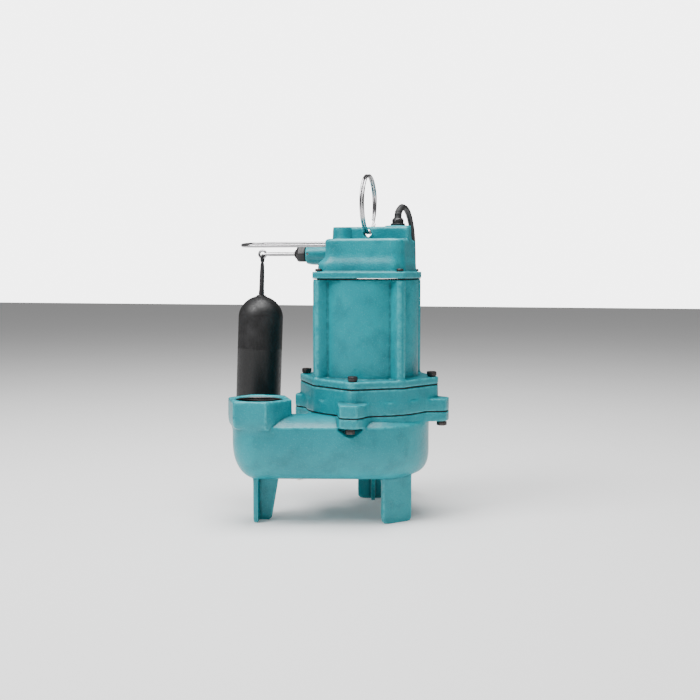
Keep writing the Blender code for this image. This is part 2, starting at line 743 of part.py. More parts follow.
def make_bolts():
    bolt = bolt_mesh("Hex bolt", BOLT_HEAD, BOLT_HEAD_HEIGHT, BOLT_SHANK, BOLT_LENGTH, 6, "steel_dark")
    head_seat = MOTOR_FLANGE_TOP + GAP
    for i, at in enumerate(quarter_turns(), 1):
        place(f"motor_bolt_{i}", bolt, None, PUMP, (*polar(MOTOR_BOLT_CIRCLE, at), head_seat), (0, 0, 0.35 * i))
    for i, (at, _, circle) in enumerate(LOWER_LOBES, 1):
        spot = polar(circle, radians(at))
        place(f"volute_bolt_{i}", bolt, None, PUMP, (*spot, PARTING - GAP), (pi, 0, 0.4 * i))
    screw = bolt_mesh("Cap screw", SCREW_HEAD, SCREW_HEAD_HEIGHT, SCREW_SHANK,
                      CAP_FLANGE_TOP - HOUSING_TOP + SCREW_GRIP, SMALL_STEPS // 2, "steel_dark")
    for i, at in enumerate(quarter_turns(pi / 4), 1):
        place(f"cap_screw_{i}", screw, None, PUMP, (*polar(PILLAR_CIRCLE, at), CAP_FLANGE_TOP + GAP))


def holes(radius, places, bottom, top):
    return [upright("Bolt hole", radius, bottom, top, at=at, sides=8) for at in places]


def lower_places():
    return [polar(circle, radians(at)) for at, _, circle in LOWER_LOBES]


def motor_places():
    return [polar(MOTOR_BOLT_CIRCLE, at) for at in quarter_turns()]


def screw_places():
    return [polar(PILLAR_CIRCLE, at) for at in quarter_turns(pi / 4)]


def flat_gasket(name, outline, bore, bottom, places, hole):
    gasket = extruded(name, outline, bottom, bottom + GASKET, "gasket_black")
    cut(gasket, upright("Gasket bore", bore, bottom - 0.001, bottom + 0.002))
    cut(gasket, *holes(hole + BOLT_FIT, places, bottom - 0.001, bottom + 0.002))


# Seal housing and motor


def make_seal_housing():
    bottom = VOLUTE_TOP + GASKET + 2 * GAP
    housing = extruded("seal_housing", lower_flange_outline(), bottom, LOWER_FLANGE_TOP, "enamel_turquoise")
    collar = extruded("Collar", motor_flange_outline(), bottom + 0.004, HOUSING_SEAT)
    spigot = upright("Spigot", THROAT - GAP, SPIGOT_BOTTOM, bottom + 0.004, sides=48)
    join(housing, collar, spigot)
    cut(
        housing,
        upright("Motor recess", BARREL_BORE, BEARING_TOP + GAP, HOUSING_SEAT + 0.001),
        upright("Bearing seat", BEARING + GAP, BEARING_BOTTOM - GAP, BEARING_TOP + 0.001),
        upright("Seal bore", SEAL_BORE, SPIGOT_BOTTOM - 0.001, BEARING_BOTTOM, sides=32),
        *holes(BOLT_SHANK + BOLT_FIT, lower_places(), bottom - 0.001, PARTING + BOLT_LENGTH + 0.001),
        *holes(BOLT_SHANK + BOLT_FIT, motor_places(), MOTOR_FLANGE_TOP - BOLT_LENGTH - 0.001,
               HOUSING_SEAT + 0.001),
    )
    flat_gasket("volute_gasket", lower_flange_outline(inset=0.0006), THROAT + GAP, VOLUTE_TOP + GAP,
                lower_places(), BOLT_SHANK)
    flat_gasket("housing_gasket", motor_flange_outline(inset=0.0006), BARREL_BORE, HOUSING_SEAT + GAP,
                motor_places(), BOLT_SHANK)


def make_motor_housing():
    bottom = HOUSING_SEAT + GASKET + 2 * GAP
    housing = extruded("motor_housing", barrel_outline(), bottom, HOUSING_TOP, "enamel_turquoise")
    join(housing, extruded("Motor flange", motor_flange_outline(), bottom, MOTOR_FLANGE_TOP))
    cut(
        housing,
        upright("Barrel bore", BARREL_BORE, bottom - 0.001, BULKHEAD_BOTTOM),
        upright("Top recess", BARREL_BORE, BULKHEAD_TOP, HOUSING_TOP + 0.001),
        upright("Bearing bore", UPPER_BEARING + GAP, BULKHEAD_BOTTOM - 0.001, BULKHEAD_TOP + 0.001, sides=32),
        upright("Lead hole", 0.005, BULKHEAD_BOTTOM - 0.001, BULKHEAD_TOP + 0.001, at=(0.038, 0), sides=16),
        *holes(BOLT_SHANK + BOLT_FIT, motor_places(), bottom - 0.001, MOTOR_FLANGE_TOP + 0.001),
        *holes(SCREW_SHANK + BOLT_FIT, screw_places(), HOUSING_TOP - SCREW_GRIP - 0.001, HOUSING_TOP + 0.001),
    )
    flat_gasket("cap_gasket", cap_flange_outline(inset=0.0006), BARREL_BORE, HOUSING_TOP + GAP, screw_places(),
                SCREW_SHANK)
    ring("stator_core", STATOR_BORE, BARREL_BORE - GAP, STATOR_BOTTOM, STATOR_TOP, "lamination")
    ring("winding_upper", WINDING_BORE, WINDING_BORE + WINDING_WALL, STATOR_TOP + GAP, STATOR_TOP + 0.014, "copper")
    ring("winding_lower", WINDING_BORE, WINDING_BORE + WINDING_WALL, STATOR_BOTTOM - WINDING_LENGTH,
         STATOR_BOTTOM - GAP, "copper")
    ring("upper_bearing", SHAFT + GAP, UPPER_BEARING, BULKHEAD_BOTTOM + GAP, BULKHEAD_TOP, "bronze", steps=32)
    ring("bearing_outer_race", BEARING_RACEWAY + BEARING_BALL + GAP, BEARING, BEARING_BOTTOM, BEARING_TOP,
         "steel_bright", steps=32)
    ring("seal_seat", SHAFT + 0.0009, SEAL_BORE - GAP, SEAL_BOTTOM, BEARING_BOTTOM - GAP, "ceramic", steps=32)


def make_rotor():
    spin = empty("Rotor spin", (0, 0, 0.2), parent=PUMP)
    base = -spin.location.z

    def lowered(profile):
        return [(radius, height + base) for radius, height in profile]

    def rotor_ring(name, inner, outer, bottom, top, finish, steps=32):
        ring(name, inner, outer, bottom + base, top + base, finish, spin, steps)

    shaft = [(0, SHAFT_TOP), (SHAFT, SHAFT_TOP), (SHAFT, IMPELLER_HUB_BOTTOM), (SHAFT_THREAD, IMPELLER_HUB_BOTTOM),
             (SHAFT_THREAD, SHAFT_END), (0, SHAFT_END)]
    turned("shaft", lowered(shaft), "steel_bright", spin, steps=SMALL_STEPS)
    rotor_ring("rotor_core", SHAFT + GAP, ROTOR, STATOR_BOTTOM + 0.002, STATOR_TOP - 0.002, "lamination")
    rotor_ring("bearing_inner_race", SHAFT + GAP, BEARING_RACEWAY - BEARING_BALL - GAP, BEARING_BOTTOM, BEARING_TOP,
               "steel_bright")
    middle = (BEARING_BOTTOM + BEARING_TOP) / 2
    ball = [(BEARING_RACEWAY + BEARING_BALL * cos(t), middle + BEARING_BALL * sin(t)) for t in
            (pi / 2 - 2 * pi * i / 8 for i in range(8))]
    turned("bearing_balls", lowered(ball), "steel_bright", spin, steps=24)
    rotor_ring("seal_head", SHAFT + GAP, SEAL_BORE - 0.0014, IMPELLER_TOP + GAP, SEAL_BOTTOM - GAP, "steel_bright")
    nut_top = IMPELLER_HUB_BOTTOM - GAP
    nut_bottom = nut_top - NUT_HEIGHT
    nut = as_mesh(turned("impeller_nut", lowered([
        (0, nut_top), (NUT_CORNER - 0.0007, nut_top), (NUT_CORNER, nut_top - 0.0008),
        (NUT_CORNER, nut_bottom + 0.0008), (NUT_CORNER - 0.0007, nut_bottom), (0, nut_bottom),
    ]), "steel_bright", spin, steps=6))
    cut(nut, upright("Nut bore", SHAFT_THREAD + GAP, nut_bottom - 0.001 + base, nut_top + 0.001 + base, parent=spin,
                     sides=SMALL_STEPS))
    return spin


def make_impeller(spin):
    base = -spin.location.z
    top = IMPELLER_TOP + base
    plate_bottom = top - IMPELLER_PLATE
    bottom = plate_bottom - IMPELLER_VANES
    hub = [(0, top), (IMPELLER, top), (IMPELLER, plate_bottom), (IMPELLER_HUB, plate_bottom - 0.003),
           (IMPELLER_HUB, IMPELLER_HUB_BOTTOM + base), (0, IMPELLER_HUB_BOTTOM + base)]
    impeller = as_mesh(turned("impeller", hub, "bronze", spin))
    line = [polar(0.008 + (IMPELLER - 0.010) * i / 6, -radians(60) * (i / 6) ** 1.5) for i in range(7)]
    across = []
    for i in range(7):
        along = (line[min(i + 1, 6)] - line[max(i - 1, 0)]).normalized()
        across.append(Vector((-along.y, along.x)) * VANE / 2)
    left = [point + side for point, side in zip(line, across)]
    right = [point - side for point, side in zip(line, across)]
    for i in range(VANES):
        turn = Matrix.Rotation(2 * pi * i / VANES, 2)
        outline = [turn @ point for point in right + left[::-1]]
        join(impeller, extruded("Vane", outline, bottom, plate_bottom + 0.001, parent=spin))
    cut(impeller, upright("Impeller bore", SHAFT + GAP, IMPELLER_HUB_BOTTOM + base - 0.001, top + 0.001,
                          parent=spin, sides=SMALL_STEPS))


# Cap and what is on it


def make_cap():
    bottom = HOUSING_TOP + GASKET + 2 * GAP
    cap = extruded("motor_cap", cap_flange_outline(), bottom, CAP_FLANGE_TOP, "enamel_turquoise")
    tiers = loft("Tiers", [
        cut_rectangle(LOWER_TIER, 0, CAP_FLANGE_TOP - 0.003),
        cut_rectangle(LOWER_TIER, 0, CAP_LEDGE),
        cut_rectangle(UPPER_TIER, 0, CAP_LEDGE_TOP),
        cut_rectangle(UPPER_TIER, 0, CAP_SHOULDER),
    ])
    round_edges(tiers, 0.0022, 1, angle=20)
    rib = box("Rib", (RIB_FROM, -RIB_HALF, CAP_SHOULDER - 0.004), (RIB_TO, RIB_HALF, CAP_PLATEAU))
    round_edges(rib, 0.002, 1)
    left = upright("Left boss", LEFT_BOSS[2] + 0.001, CAP_SHOULDER - 0.004, CAP_PLATEAU - 0.0004, at=LEFT_BOSS[:2],
                   sides=32, top_radius=LEFT_BOSS[2])
    right = upright("Cord boss", CORD_BOSS[2] + 0.001, CAP_SHOULDER - 0.004, CORD_BOSS_TOP, at=CORD_BOSS[:2],
                    sides=32, top_radius=CORD_BOSS[2])
    arm_height = ARM_HEIGHT - 0.001
    boss_length = UPPER_TIER[0] + 0.006 - ARM_BOSS_END
    arm = as_mesh(turned("Arm boss", [
        (0, 0.0), (ARM_BOSS - 0.004, 0.0), (ARM_BOSS - 0.0012, -0.0012), (ARM_BOSS, -0.004),
        (ARM_BOSS + 0.001, -boss_length), (0, -boss_length),
    ], None, PUMP, (ARM_BOSS_END, 0, arm_height), (0, -pi / 2, 0), 32))
    join(cap, tiers, rib, left, right, arm)
    cavity = loft("Switch room", [
        cut_rectangle(LOWER_TIER, CAP_WALL, bottom - 0.001),
        cut_rectangle(LOWER_TIER, CAP_WALL, CAP_LEDGE - 0.003),
        cut_rectangle(UPPER_TIER, CAP_WALL, CAP_LEDGE_TOP - 0.002),
        cut_rectangle(UPPER_TIER, CAP_WALL, CAP_SHOULDER - CAP_WALL),
    ])
    cut(
        cap,
        cavity,
        rod("Arm channel", ARM_CHANNEL, (ARM_BOSS_END - 0.001, 0, ARM_HEIGHT), (UPPER_TIER[0] + 0.010, 0, ARM_HEIGHT)),
        rod("Pin hole", PIN + GAP, (ARM_PIVOT, -0.020, ARM_HEIGHT), (ARM_PIVOT, 0.020, ARM_HEIGHT), sides=12),
        rod("Ring hole", RING_HOLE, (0, -0.02, RING_HOLE_HEIGHT), (0, 0.02, RING_HOLE_HEIGHT)),
        upright("Gland hole", GLAND_THREAD + GAP, CAP_SHOULDER - 0.010, CORD_BOSS_TOP + 0.001, at=CORD_BOSS[:2],
                sides=SMALL_STEPS),
        *holes(SCREW_SHANK + BOLT_FIT, screw_places(), bottom - 0.001, CAP_FLANGE_TOP + 0.001),
    )
    for side in (-1, 1):
        height = GUARD_HEIGHT + side * GUARD_RADIUS * sin(GUARD_ROLL)
        across = side * GUARD_RADIUS * cos(GUARD_ROLL)
        cut(cap, rod("Guard hole", GUARD_WIRE + GAP, (LOWER_TIER[0] - 0.005, across, height),
                     (GUARD_END + 0.001, across, height), sides=16))


def make_guard():
    points = []
    for x in (GUARD_END, ARM_BOSS_END, -0.115):
        points.append((x, -GUARD_RADIUS))
    for i in range(13):
        points.append((GUARD_CENTRE - GUARD_RADIUS * sin(pi * i / 12), -GUARD_RADIUS * cos(pi * i / 12)))
    for x in (-0.115, ARM_BOSS_END, GUARD_END):
        points.append((x, GUARD_RADIUS))
    rolled = [(x, y * cos(GUARD_ROLL), GUARD_HEIGHT + y * sin(GUARD_ROLL)) for x, y in points]
    wire("float_guard", rolled, GUARD_WIRE, "steel_bright")


def make_ring():
    swing = empty("Ring swing", (0, 0, RING_HOLE_HEIGHT), parent=PUMP)
    turns, per_turn = 1.97, 26
    count = int(turns * per_turn)
    points = []
    for i in range(count + 1):
        share = i / count
        angle = -pi / 2 + radians(60) + 2 * pi * turns * share
        slide = RING_PITCH * (min(max((share - 0.42) / 0.16, 0), 1) - 0.5)
        points.append((slide, RING_RADIUS * cos(angle), RING_RADIUS * (1 + sin(angle))))
    wire("lifting_ring", points, RING_WIRE, "steel_bright", swing)


def make_switch():
    swing = empty("Arm swing", (ARM_PIVOT, 0, ARM_HEIGHT), parent=PUMP)
    arm = rod("switch_arm", ARM_ROD, (0, 0, 0), (ARM_TIP - ARM_PIVOT + EYE, 0, 0), "steel_bright", swing, 16)
    hub = rod("Hub", ARM_HUB, (0, -0.003, 0), (0, 0.003, 0), None, swing, 20)
    lever = rod("Lever", ARM_LEVER, (0.001, 0, 0), (ARM_LEVER_END - ARM_PIVOT, 0, 0), None, swing, 12)
    eye_at = ARM_TIP - ARM_PIVOT
    eye = as_mesh(turned("Eye", [
        (EYE + EYE_WIRE * cos(t), EYE_WIRE * sin(t)) for t in (pi / 2 - 2 * pi * i / 10 for i in range(10))
    ], None, swing, (eye_at, 0, 0), (pi / 2, 0, 0), 20))
    join(arm, hub, lever, eye)
    cut(
        arm,
        rod("Hub bore", PIN + GAP, (0, -0.01, 0), (0, 0.01, 0), None, swing, 12),
        rod("Eye bore", EYE - EYE_WIRE, (eye_at, -0.01, 0), (eye_at, 0.01, 0), None, swing, 20),
    )
    rod("arm_pin", PIN, (ARM_PIVOT, -0.0105, ARM_HEIGHT), (ARM_PIVOT, 0.0105, ARM_HEIGHT), "steel_bright", None, 12)
    boot = [(ARM_ROD + GAP, 0), (0.0040, 0), (0.0054, -0.001), (0.0054, -BOOT), (ARM_ROD + GAP, -BOOT)]
    nut_face = ARM_BOSS_END - GAP - NUT_LENGTH
    turned("arm_boot", boot, "rubber_black", swing, (nut_face - BOOT - BOOT_ROOM - ARM_PIVOT, 0, 0), (0, -pi / 2, 0), 20)
    nut_profile = [(0, 0), (NUT_HEX - 0.0022, 0), (NUT_HEX, -0.003), (NUT_HEX, -NUT_LENGTH), (0, -NUT_LENGTH)]
    nut = as_mesh(turned("boot_nut", nut_profile, "plastic_black", None, (nut_face, 0, ARM_HEIGHT),
                         (0, -pi / 2, 0), 6))
    cut(nut, rod("Nut bore", NUT_BORE, (ARM_BOSS_END + 0.001, 0, ARM_HEIGHT), (nut_face - 0.001, 0, ARM_HEIGHT)))
    body = box("switch_body", (PLUNGER_AT - 0.010, -0.014, BULKHEAD_TOP + GAP),
               (PLUNGER_AT + 0.010, 0.014, SWITCH_TOP), "plastic_black")
    cut(body, upright("Plunger bore", PLUNGER + GAP, BULKHEAD_TOP + 0.004, SWITCH_TOP + 0.001, at=(PLUNGER_AT, 0),
                      sides=12))
    press = empty("Plunger press", (PLUNGER_AT, 0, SWITCH_TOP), parent=PUMP)
    top = ARM_HEIGHT - ARM_LEVER - 0.0004 - SWITCH_TOP
    upright("switch_plunger", PLUNGER, top - PLUNGER_LENGTH, top, "plastic_black", press, sides=12)
    return swing


def make_float(swing):
    hang = Vector((ARM_TIP - ARM_PIVOT, 0, 0))
    hook_top = -(EYE - EYE_WIRE) + HOOK_WIRE + GAP  # the hook's wire rests in the eye
    pivot = empty("Float swing", hang + Vector((0, 0, hook_top)), parent=swing)
    pivot.rotation_euler = (0, FLOAT_LEAN, 0)
    zero = ARM_HEIGHT + hook_top
    hook = as_mesh(turned("float_hook", [
        (HOOK + HOOK_WIRE * cos(t), HOOK_WIRE * sin(t)) for t in (pi / 2 - 2 * pi * i / 10 for i in range(10))
    ], "plastic_black", pivot, (0, 0, -HOOK), (0, pi / 2, 0), 20))
    stem_top = STEM_TOP - zero
    stem_bottom = FLOAT_TOP - STEM_GRIP - zero
    stem = rod("Stem", STEM, (0, 0, stem_bottom), (0, 0, stem_top), None, pivot, 16)
    join(hook, stem)
    top, bottom = FLOAT_TOP - zero, FLOAT_TOP - FLOAT_LENGTH - zero
    quarter = [pi / 2 * i / 6 for i in range(7)]
    profile = [(FLOAT_RADIUS * sin(t), top - FLOAT_RADIUS + FLOAT_RADIUS * cos(t)) for t in quarter]
    profile += [(FLOAT_RADIUS * cos(t), bottom + FLOAT_RADIUS - FLOAT_RADIUS * sin(t)) for t in quarter]
    profile[0], profile[-1] = (0, top), (0, bottom)
    body = as_mesh(turned("float", profile, "plastic_black", pivot, steps=32))
    cut(body, rod("Stem socket", STEM + GAP, (0, 0, stem_bottom - GAP), (0, 0, top + 0.01), None, pivot, 16))


# Cord


def smooth_route(points, spacing):
    # A Catmull-Rom curve through the points, read off at even spacing
    points = [Vector(point) for point in points]
    ends = [2 * points[0] - points[1], *points, 2 * points[-1] - points[-2]]
    fine = []
    for a, b, c, d in zip(ends, ends[1:], ends[2:], ends[3:]):
        for i in range(20):
            t = i / 20
            fine.append(0.5 * (2 * b + (c - a) * t + (2 * a - 5 * b + 4 * c - d) * t ** 2
                               + (3 * b - a - 3 * c + d) * t ** 3))
    fine.append(points[-1])
    total = sum((b - a).length for a, b in zip(fine, fine[1:]))
    count = round(total / spacing)
    route, travelled, wanted = [fine[0]], 0.0, total / count
    for a, b in zip(fine, fine[1:]):
        travelled += (b - a).length
        if travelled >= wanted * len(route) - 1e-9 and len(route) < count:
            route.append(b)
    route.append(fine[-1])
    return route


def from_volute(x, y, z):
    turned_back = Matrix.Rotation(VOLUTE_TURN, 2) @ Vector((x, y))
    return (turned_back.x, turned_back.y, z)


def make_cord():
    at = CORD_BOSS[:2]
    turned("cord_gland", [
        (CORD + GAP, CORD_BOSS_TOP + 0.003), (GLAND_FLANGE, CORD_BOSS_TOP + 0.003),
        (GLAND_FLANGE, CORD_BOSS_TOP + GAP), (GLAND_THREAD, CORD_BOSS_TOP + GAP),
        (GLAND_THREAD, CAP_SHOULDER - 0.005), (CORD + GAP, CAP_SHOULDER - 0.005),
    ], "plastic_black", None, (*at, 0), steps=24)
    nut_bottom = CORD_BOSS_TOP + 0.003 + GAP
    turned("cord_nut", [
        (CORD + 0.0022, GLAND_TOP), (GLAND_NUT - 0.0003, GLAND_TOP), (GLAND_NUT, GLAND_TOP - 0.002),
        (GLAND_NUT, nut_bottom), (CORD + GAP, nut_bottom),
    ], "plastic_black", None, (*at, 0), steps=12)
    route = CORD_UPPER + tuple(from_volute(*point) for point in CORD_LOWER)
    wire("cord", smooth_route(route, 0.016), CORD, "rubber_black")
    round_over = 0.003
    coil = [
        (COIL_INNER + round_over, COIL_HEIGHT), (COIL_OUTER - round_over, COIL_HEIGHT),
        (COIL_OUTER, COIL_HEIGHT - round_over), (COIL_OUTER, round_over), (COIL_OUTER - round_over, 0),
        (COIL_INNER + round_over, 0), (COIL_INNER, round_over), (COIL_INNER, COIL_HEIGHT - round_over),
    ]
    turned("cord_coil", coil, "rubber_black", CASTING, (*COIL_CENTRE, 0), steps=40)
    beside = COIL_CENTRE.x - COIL_OUTER - CORD - GAP
    plug_back = PLUG_FACE + PLUG_LENGTH
    tail = [(beside, COIL_CENTRE.y + 0.010, CORD + 0.0001), (beside, COIL_CENTRE.y, CORD + 0.0008),
            (beside, plug_back + 0.014, 0.0095), (beside, plug_back + 0.006, PLUG_RADIUS - 0.0002),
            (beside, plug_back + 0.0006, PLUG_RADIUS)]
    wire("cord_tail", smooth_route(tail, 0.008), CORD, "rubber_black", CASTING)
    make_plug(beside)


def make_plug(x):
    body = as_mesh(turned("plug_body", [
        (0, 0), (PLUG_RADIUS - 0.001, 0), (PLUG_RADIUS, -0.001), (PLUG_RADIUS, -0.016),
        (0.0095, -0.024), (0.0065, -PLUG_LENGTH), (0, -PLUG_LENGTH),
    ], "rubber_black", CASTING, (x, PLUG_FACE, PLUG_RADIUS), (pi / 2, 0, 0), 24))
    width, thick, length = BLADE
    height = PLUG_RADIUS + 0.003
    for i, side in enumerate((-1, 1), 1):
        middle = x + side * BLADE_SPACING / 2
        cut(body, box("Slot", (middle - thick / 2 - GAP, PLUG_FACE - 0.001, height - width / 2 - GAP),
                      (middle + thick / 2 + GAP, PLUG_FACE + 0.004 + GAP, height + width / 2 + GAP), None, CASTING))
        box(f"plug_blade_{i}", (middle - thick / 2, PLUG_FACE - length, height - width / 2),
            (middle + thick / 2, PLUG_FACE + 0.004, height + width / 2), "brass", CASTING)
    low = PLUG_RADIUS - 0.0075
    cut(body, rod("Pin socket", GROUND_PIN + GAP, (x, PLUG_FACE - 0.001, low), (x, PLUG_FACE + 0.004 + GAP, low), None,
                  CASTING, 12))
    rod("plug_ground_pin", GROUND_PIN, (x, PLUG_FACE - length - 0.003, low), (x, PLUG_FACE + 0.004, low), "brass",
        CASTING, 12)


def centre_on_base():
    # The origin goes to the middle of the pump's own footprint, leaving out the cord and its plug
    bpy.context.view_layer.update()
    depsgraph = bpy.context.evaluated_depsgraph_get()
    low, high = Vector((9, 9, 9)), Vector((-9, -9, -9))
    for obj in PARTS.objects:
        if obj.type == "EMPTY" or obj.name in ("cord", "cord_coil", "cord_tail") or obj.name.startswith("plug_"):
            continue
        evaluated = obj.evaluated_get(depsgraph)
        mesh = evaluated.to_mesh()
        for vertex in mesh.vertices:
            at = evaluated.matrix_world @ vertex.co
            for k in range(3):
                low[k], high[k] = min(low[k], at[k]), max(high[k], at[k])
        evaluated.to_mesh_clear()
    PUMP.location = (-(low.x + high.x) / 2, -(low.y + high.y) / 2, -low.z)
    bpy.context.view_layer.update()
    print("size", [round(v, 4) for v in high - low], "origin", [round(v, 5) for v in PUMP.location])


make_volute()
make_seal_housing()
make_motor_housing()
make_cap()
make_bolts()
rotor = make_rotor()
make_impeller(rotor)
make_guard()
make_ring()
make_float(make_switch())
make_cord()
centre_on_base()
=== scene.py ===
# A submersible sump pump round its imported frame. Metres, +Z up; the shaft stands at shaftX, shaftY.
import json
from math import cos, pi, radians, sin

import bmesh
import bpy
import numpy as np
from mathutils import Matrix, Vector


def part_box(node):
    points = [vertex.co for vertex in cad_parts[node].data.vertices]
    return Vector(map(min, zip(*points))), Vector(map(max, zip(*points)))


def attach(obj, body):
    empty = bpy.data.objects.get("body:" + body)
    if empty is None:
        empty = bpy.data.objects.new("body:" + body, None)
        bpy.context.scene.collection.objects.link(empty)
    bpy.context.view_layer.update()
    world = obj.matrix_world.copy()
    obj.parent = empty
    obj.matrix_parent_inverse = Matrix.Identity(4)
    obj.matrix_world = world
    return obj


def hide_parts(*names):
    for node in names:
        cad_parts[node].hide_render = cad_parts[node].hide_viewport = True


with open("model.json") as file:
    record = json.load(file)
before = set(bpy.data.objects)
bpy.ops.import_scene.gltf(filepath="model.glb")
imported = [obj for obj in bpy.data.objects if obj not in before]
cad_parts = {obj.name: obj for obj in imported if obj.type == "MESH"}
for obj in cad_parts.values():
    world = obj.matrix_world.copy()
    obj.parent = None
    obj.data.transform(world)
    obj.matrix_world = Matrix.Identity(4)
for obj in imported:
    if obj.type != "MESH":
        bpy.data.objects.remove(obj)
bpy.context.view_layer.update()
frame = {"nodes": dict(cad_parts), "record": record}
nodes = frame["nodes"]


def middleOf(name):
    low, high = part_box(name)
    return (low + high) / 2


shaftX, shaftY = middleOf("shaft").xy
voluteTurn = radians(13.2)  # the volute is clocked this far round the shaft


def fromVolute(x, y, z):
    return Matrix.Translation((shaftX, shaftY, 0)) @ Matrix.Rotation(voluteTurn, 4, "Z") @ Vector((x, y, z))


def fromShaft(x, y, z):
    return Vector((shaftX + x, shaftY + y, z))


# Camera

def makeCamera():
    view = {"at": (0.0, -1.219, 0.3059), "aim": (-0.0229, 0.0, 0.2059), "lens": 50.14}
    camera = bpy.data.objects.new("Camera", bpy.data.cameras.new("Camera"))
    bpy.context.scene.collection.objects.link(camera)
    camera.location = fromVolute(*view["at"])
    camera.rotation_euler = (fromVolute(*view["aim"]) - camera.location).to_track_quat("-Z", "Y").to_euler()
    camera.data.lens = view["lens"]
    camera.data.sensor_width = 36
    camera.data.clip_start = 0.05
    bpy.context.scene.camera = camera
    print("camera set")


makeCamera()


# Modelling helpers

def clearSelection():
    if bpy.context.mode != "OBJECT":
        bpy.ops.object.mode_set(mode="OBJECT")
    bpy.ops.object.select_all(action="DESELECT")


def useOnly(piece):
    clearSelection()
    piece.select_set(True)
    bpy.context.view_layer.objects.active = piece


def startPiece(name, kind, **settings):
    clearSelection()
    getattr(bpy.ops.mesh, f"primitive_{kind}_add")(**settings)
    piece = bpy.context.active_object
    piece.name = piece.data.name = name
    settle(piece)
    return piece


def settle(piece, matrix=None):
    # The piece's place goes into its mesh, and its object back to the origin
    useOnly(piece)
    if matrix is not None:
        piece.matrix_world = matrix @ piece.matrix_world
        bpy.context.view_layer.update()
    bpy.ops.object.transform_apply(location=True, rotation=True, scale=True)
    return piece


def openEdit(piece, kind, test):
    # Edit mode, with the faces, edges or vertices chosen whose middle or normal passes the test
    useOnly(piece)
    bpy.ops.object.mode_set(mode="EDIT")
    bpy.ops.mesh.select_mode(type=kind)
    bpy.ops.mesh.select_all(action="DESELECT")
    mesh = bmesh.from_edit_mesh(piece.data)
    mesh.normal_update()
    if kind == "FACE":
        chosen = [face for face in mesh.faces if test(face.calc_center_median(), face.normal)]
    elif kind == "EDGE":
        chosen = [e for e in mesh.edges if test((e.verts[0].co + e.verts[1].co) / 2, e.verts[0].co - e.verts[1].co)]
    else:
        chosen = [vertex for vertex in mesh.verts if test(vertex.co, vertex.normal)]
    for part in chosen:
        part.select = True
    mesh.select_flush_mode()
    bmesh.update_edit_mesh(piece.data)
    return len(chosen)


def closeEdit():
    bpy.ops.object.mode_set(mode="OBJECT")


def apply(piece, kind, **settings):
    useOnly(piece)
    modifier = piece.modifiers.new(kind.title(), kind)
    for key, value in settings.items():
        setattr(modifier, key, value)
    bpy.ops.object.modifier_apply(modifier=modifier.name)
    return piece


def smoothShade(piece, angle=40):
    useOnly(piece)
    bpy.ops.object.shade_smooth_by_angle(angle=radians(angle))
    return piece


def turnUp(name, profile, sides=48, matrix=None, closed=False):
    # A circle drawn out ring by ring through (radius, height) pairs, on the shaft of its own matrix
    first = profile[0]
    piece = startPiece(name, "circle", vertices=sides, radius=first[0], location=(0, 0, first[1]))
    openEdit(piece, "EDGE", lambda middle, along: True)
    loops = list(zip(profile, profile[1:] + ([first] if closed else [])))
    for (radius, height), (nextRadius, nextHeight) in loops:
        bpy.ops.mesh.extrude_region_move(TRANSFORM_OT_translate={"value": (0, 0, nextHeight - height)})
        share = nextRadius / radius
        bpy.ops.transform.resize(value=(share, share, 1), center_override=(0, 0, nextHeight))
    if closed:
        bpy.ops.mesh.select_all(action="SELECT")
        bpy.ops.mesh.remove_doubles(threshold=1e-7)
    else:
        bpy.ops.mesh.edge_face_add()
        bpy.ops.mesh.select_all(action="DESELECT")
        closeEdit()
        openEdit(piece, "EDGE", lambda middle, along: abs(middle.z - first[1]) < 1e-7
                 and abs(middle.xy.length - first[0] * cos(pi / sides)) < 1e-6)
        bpy.ops.mesh.edge_face_add()
        bpy.ops.mesh.select_all(action="SELECT")
    bpy.ops.mesh.normals_make_consistent(inside=False)
    closeEdit()
    return settle(piece, matrix)


def joinPieces(name, *pieces):
    useOnly(pieces[0])
    for piece in pieces:
        piece.select_set(True)
    bpy.context.view_layer.objects.active = pieces[0]
    if len(pieces) > 1:
        bpy.ops.object.join()
    pieces[0].name = pieces[0].data.name = name
    return pieces[0]


def copyOf(piece, name, matrix):
    made = bpy.data.objects.new(name, piece.data.copy())
    bpy.context.scene.collection.objects.link(made)
    made.data.name = name
    made.data.transform(matrix)
    return made


def place(piece, body, slotName, *replaced, look=None):
    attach(piece, body)
    if replaced:
        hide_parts(*replaced)
    if look:
        piece.data.materials.clear()
        piece.data.materials.append(look)
    return piece


def alongX(x, y, z, away=-1):
    # The piece's own +Z goes to -X or +X
    return Matrix.Translation((x, y, z)) @ Matrix.Rotation(away * pi / 2, 4, "Y")


# Materials

class Signal:
    # A socket whose sums, products and comparisons add Math nodes
    def __init__(self, look, socket):
        self.look, self.socket = look, socket

    def maths(self, operation, *values):
        return self.look.add("ShaderNodeMath", {"operation": operation}, dict(enumerate(values)))

    def __add__(self, other):
        return self.maths("ADD", self, other)

    def __sub__(self, other):
        return self.maths("SUBTRACT", self, other)

    def __rsub__(self, other):
        return self.maths("SUBTRACT", other, self)

    def __mul__(self, other):
        return self.maths("MULTIPLY", self, other)

    def __truediv__(self, other):
        return self.maths("DIVIDE", self, other)

    def __gt__(self, other):
        return self.maths("GREATER_THAN", self, other)

    def __pow__(self, other):
        return self.maths("POWER", self, other)

    __radd__, __rmul__ = __add__, __mul__

    def bounded(self):
        return self.look.add("ShaderNodeClamp", {}, {"Value": self})

    def between(self, low, high, toLow=0.0, toHigh=1.0):
        return self.look.add(
            "ShaderNodeMapRange", {"interpolation_type": "SMOOTHSTEP"},
            {"Value": self, "From Min": low, "From Max": high, "To Min": toLow, "To Max": toHigh},
        )


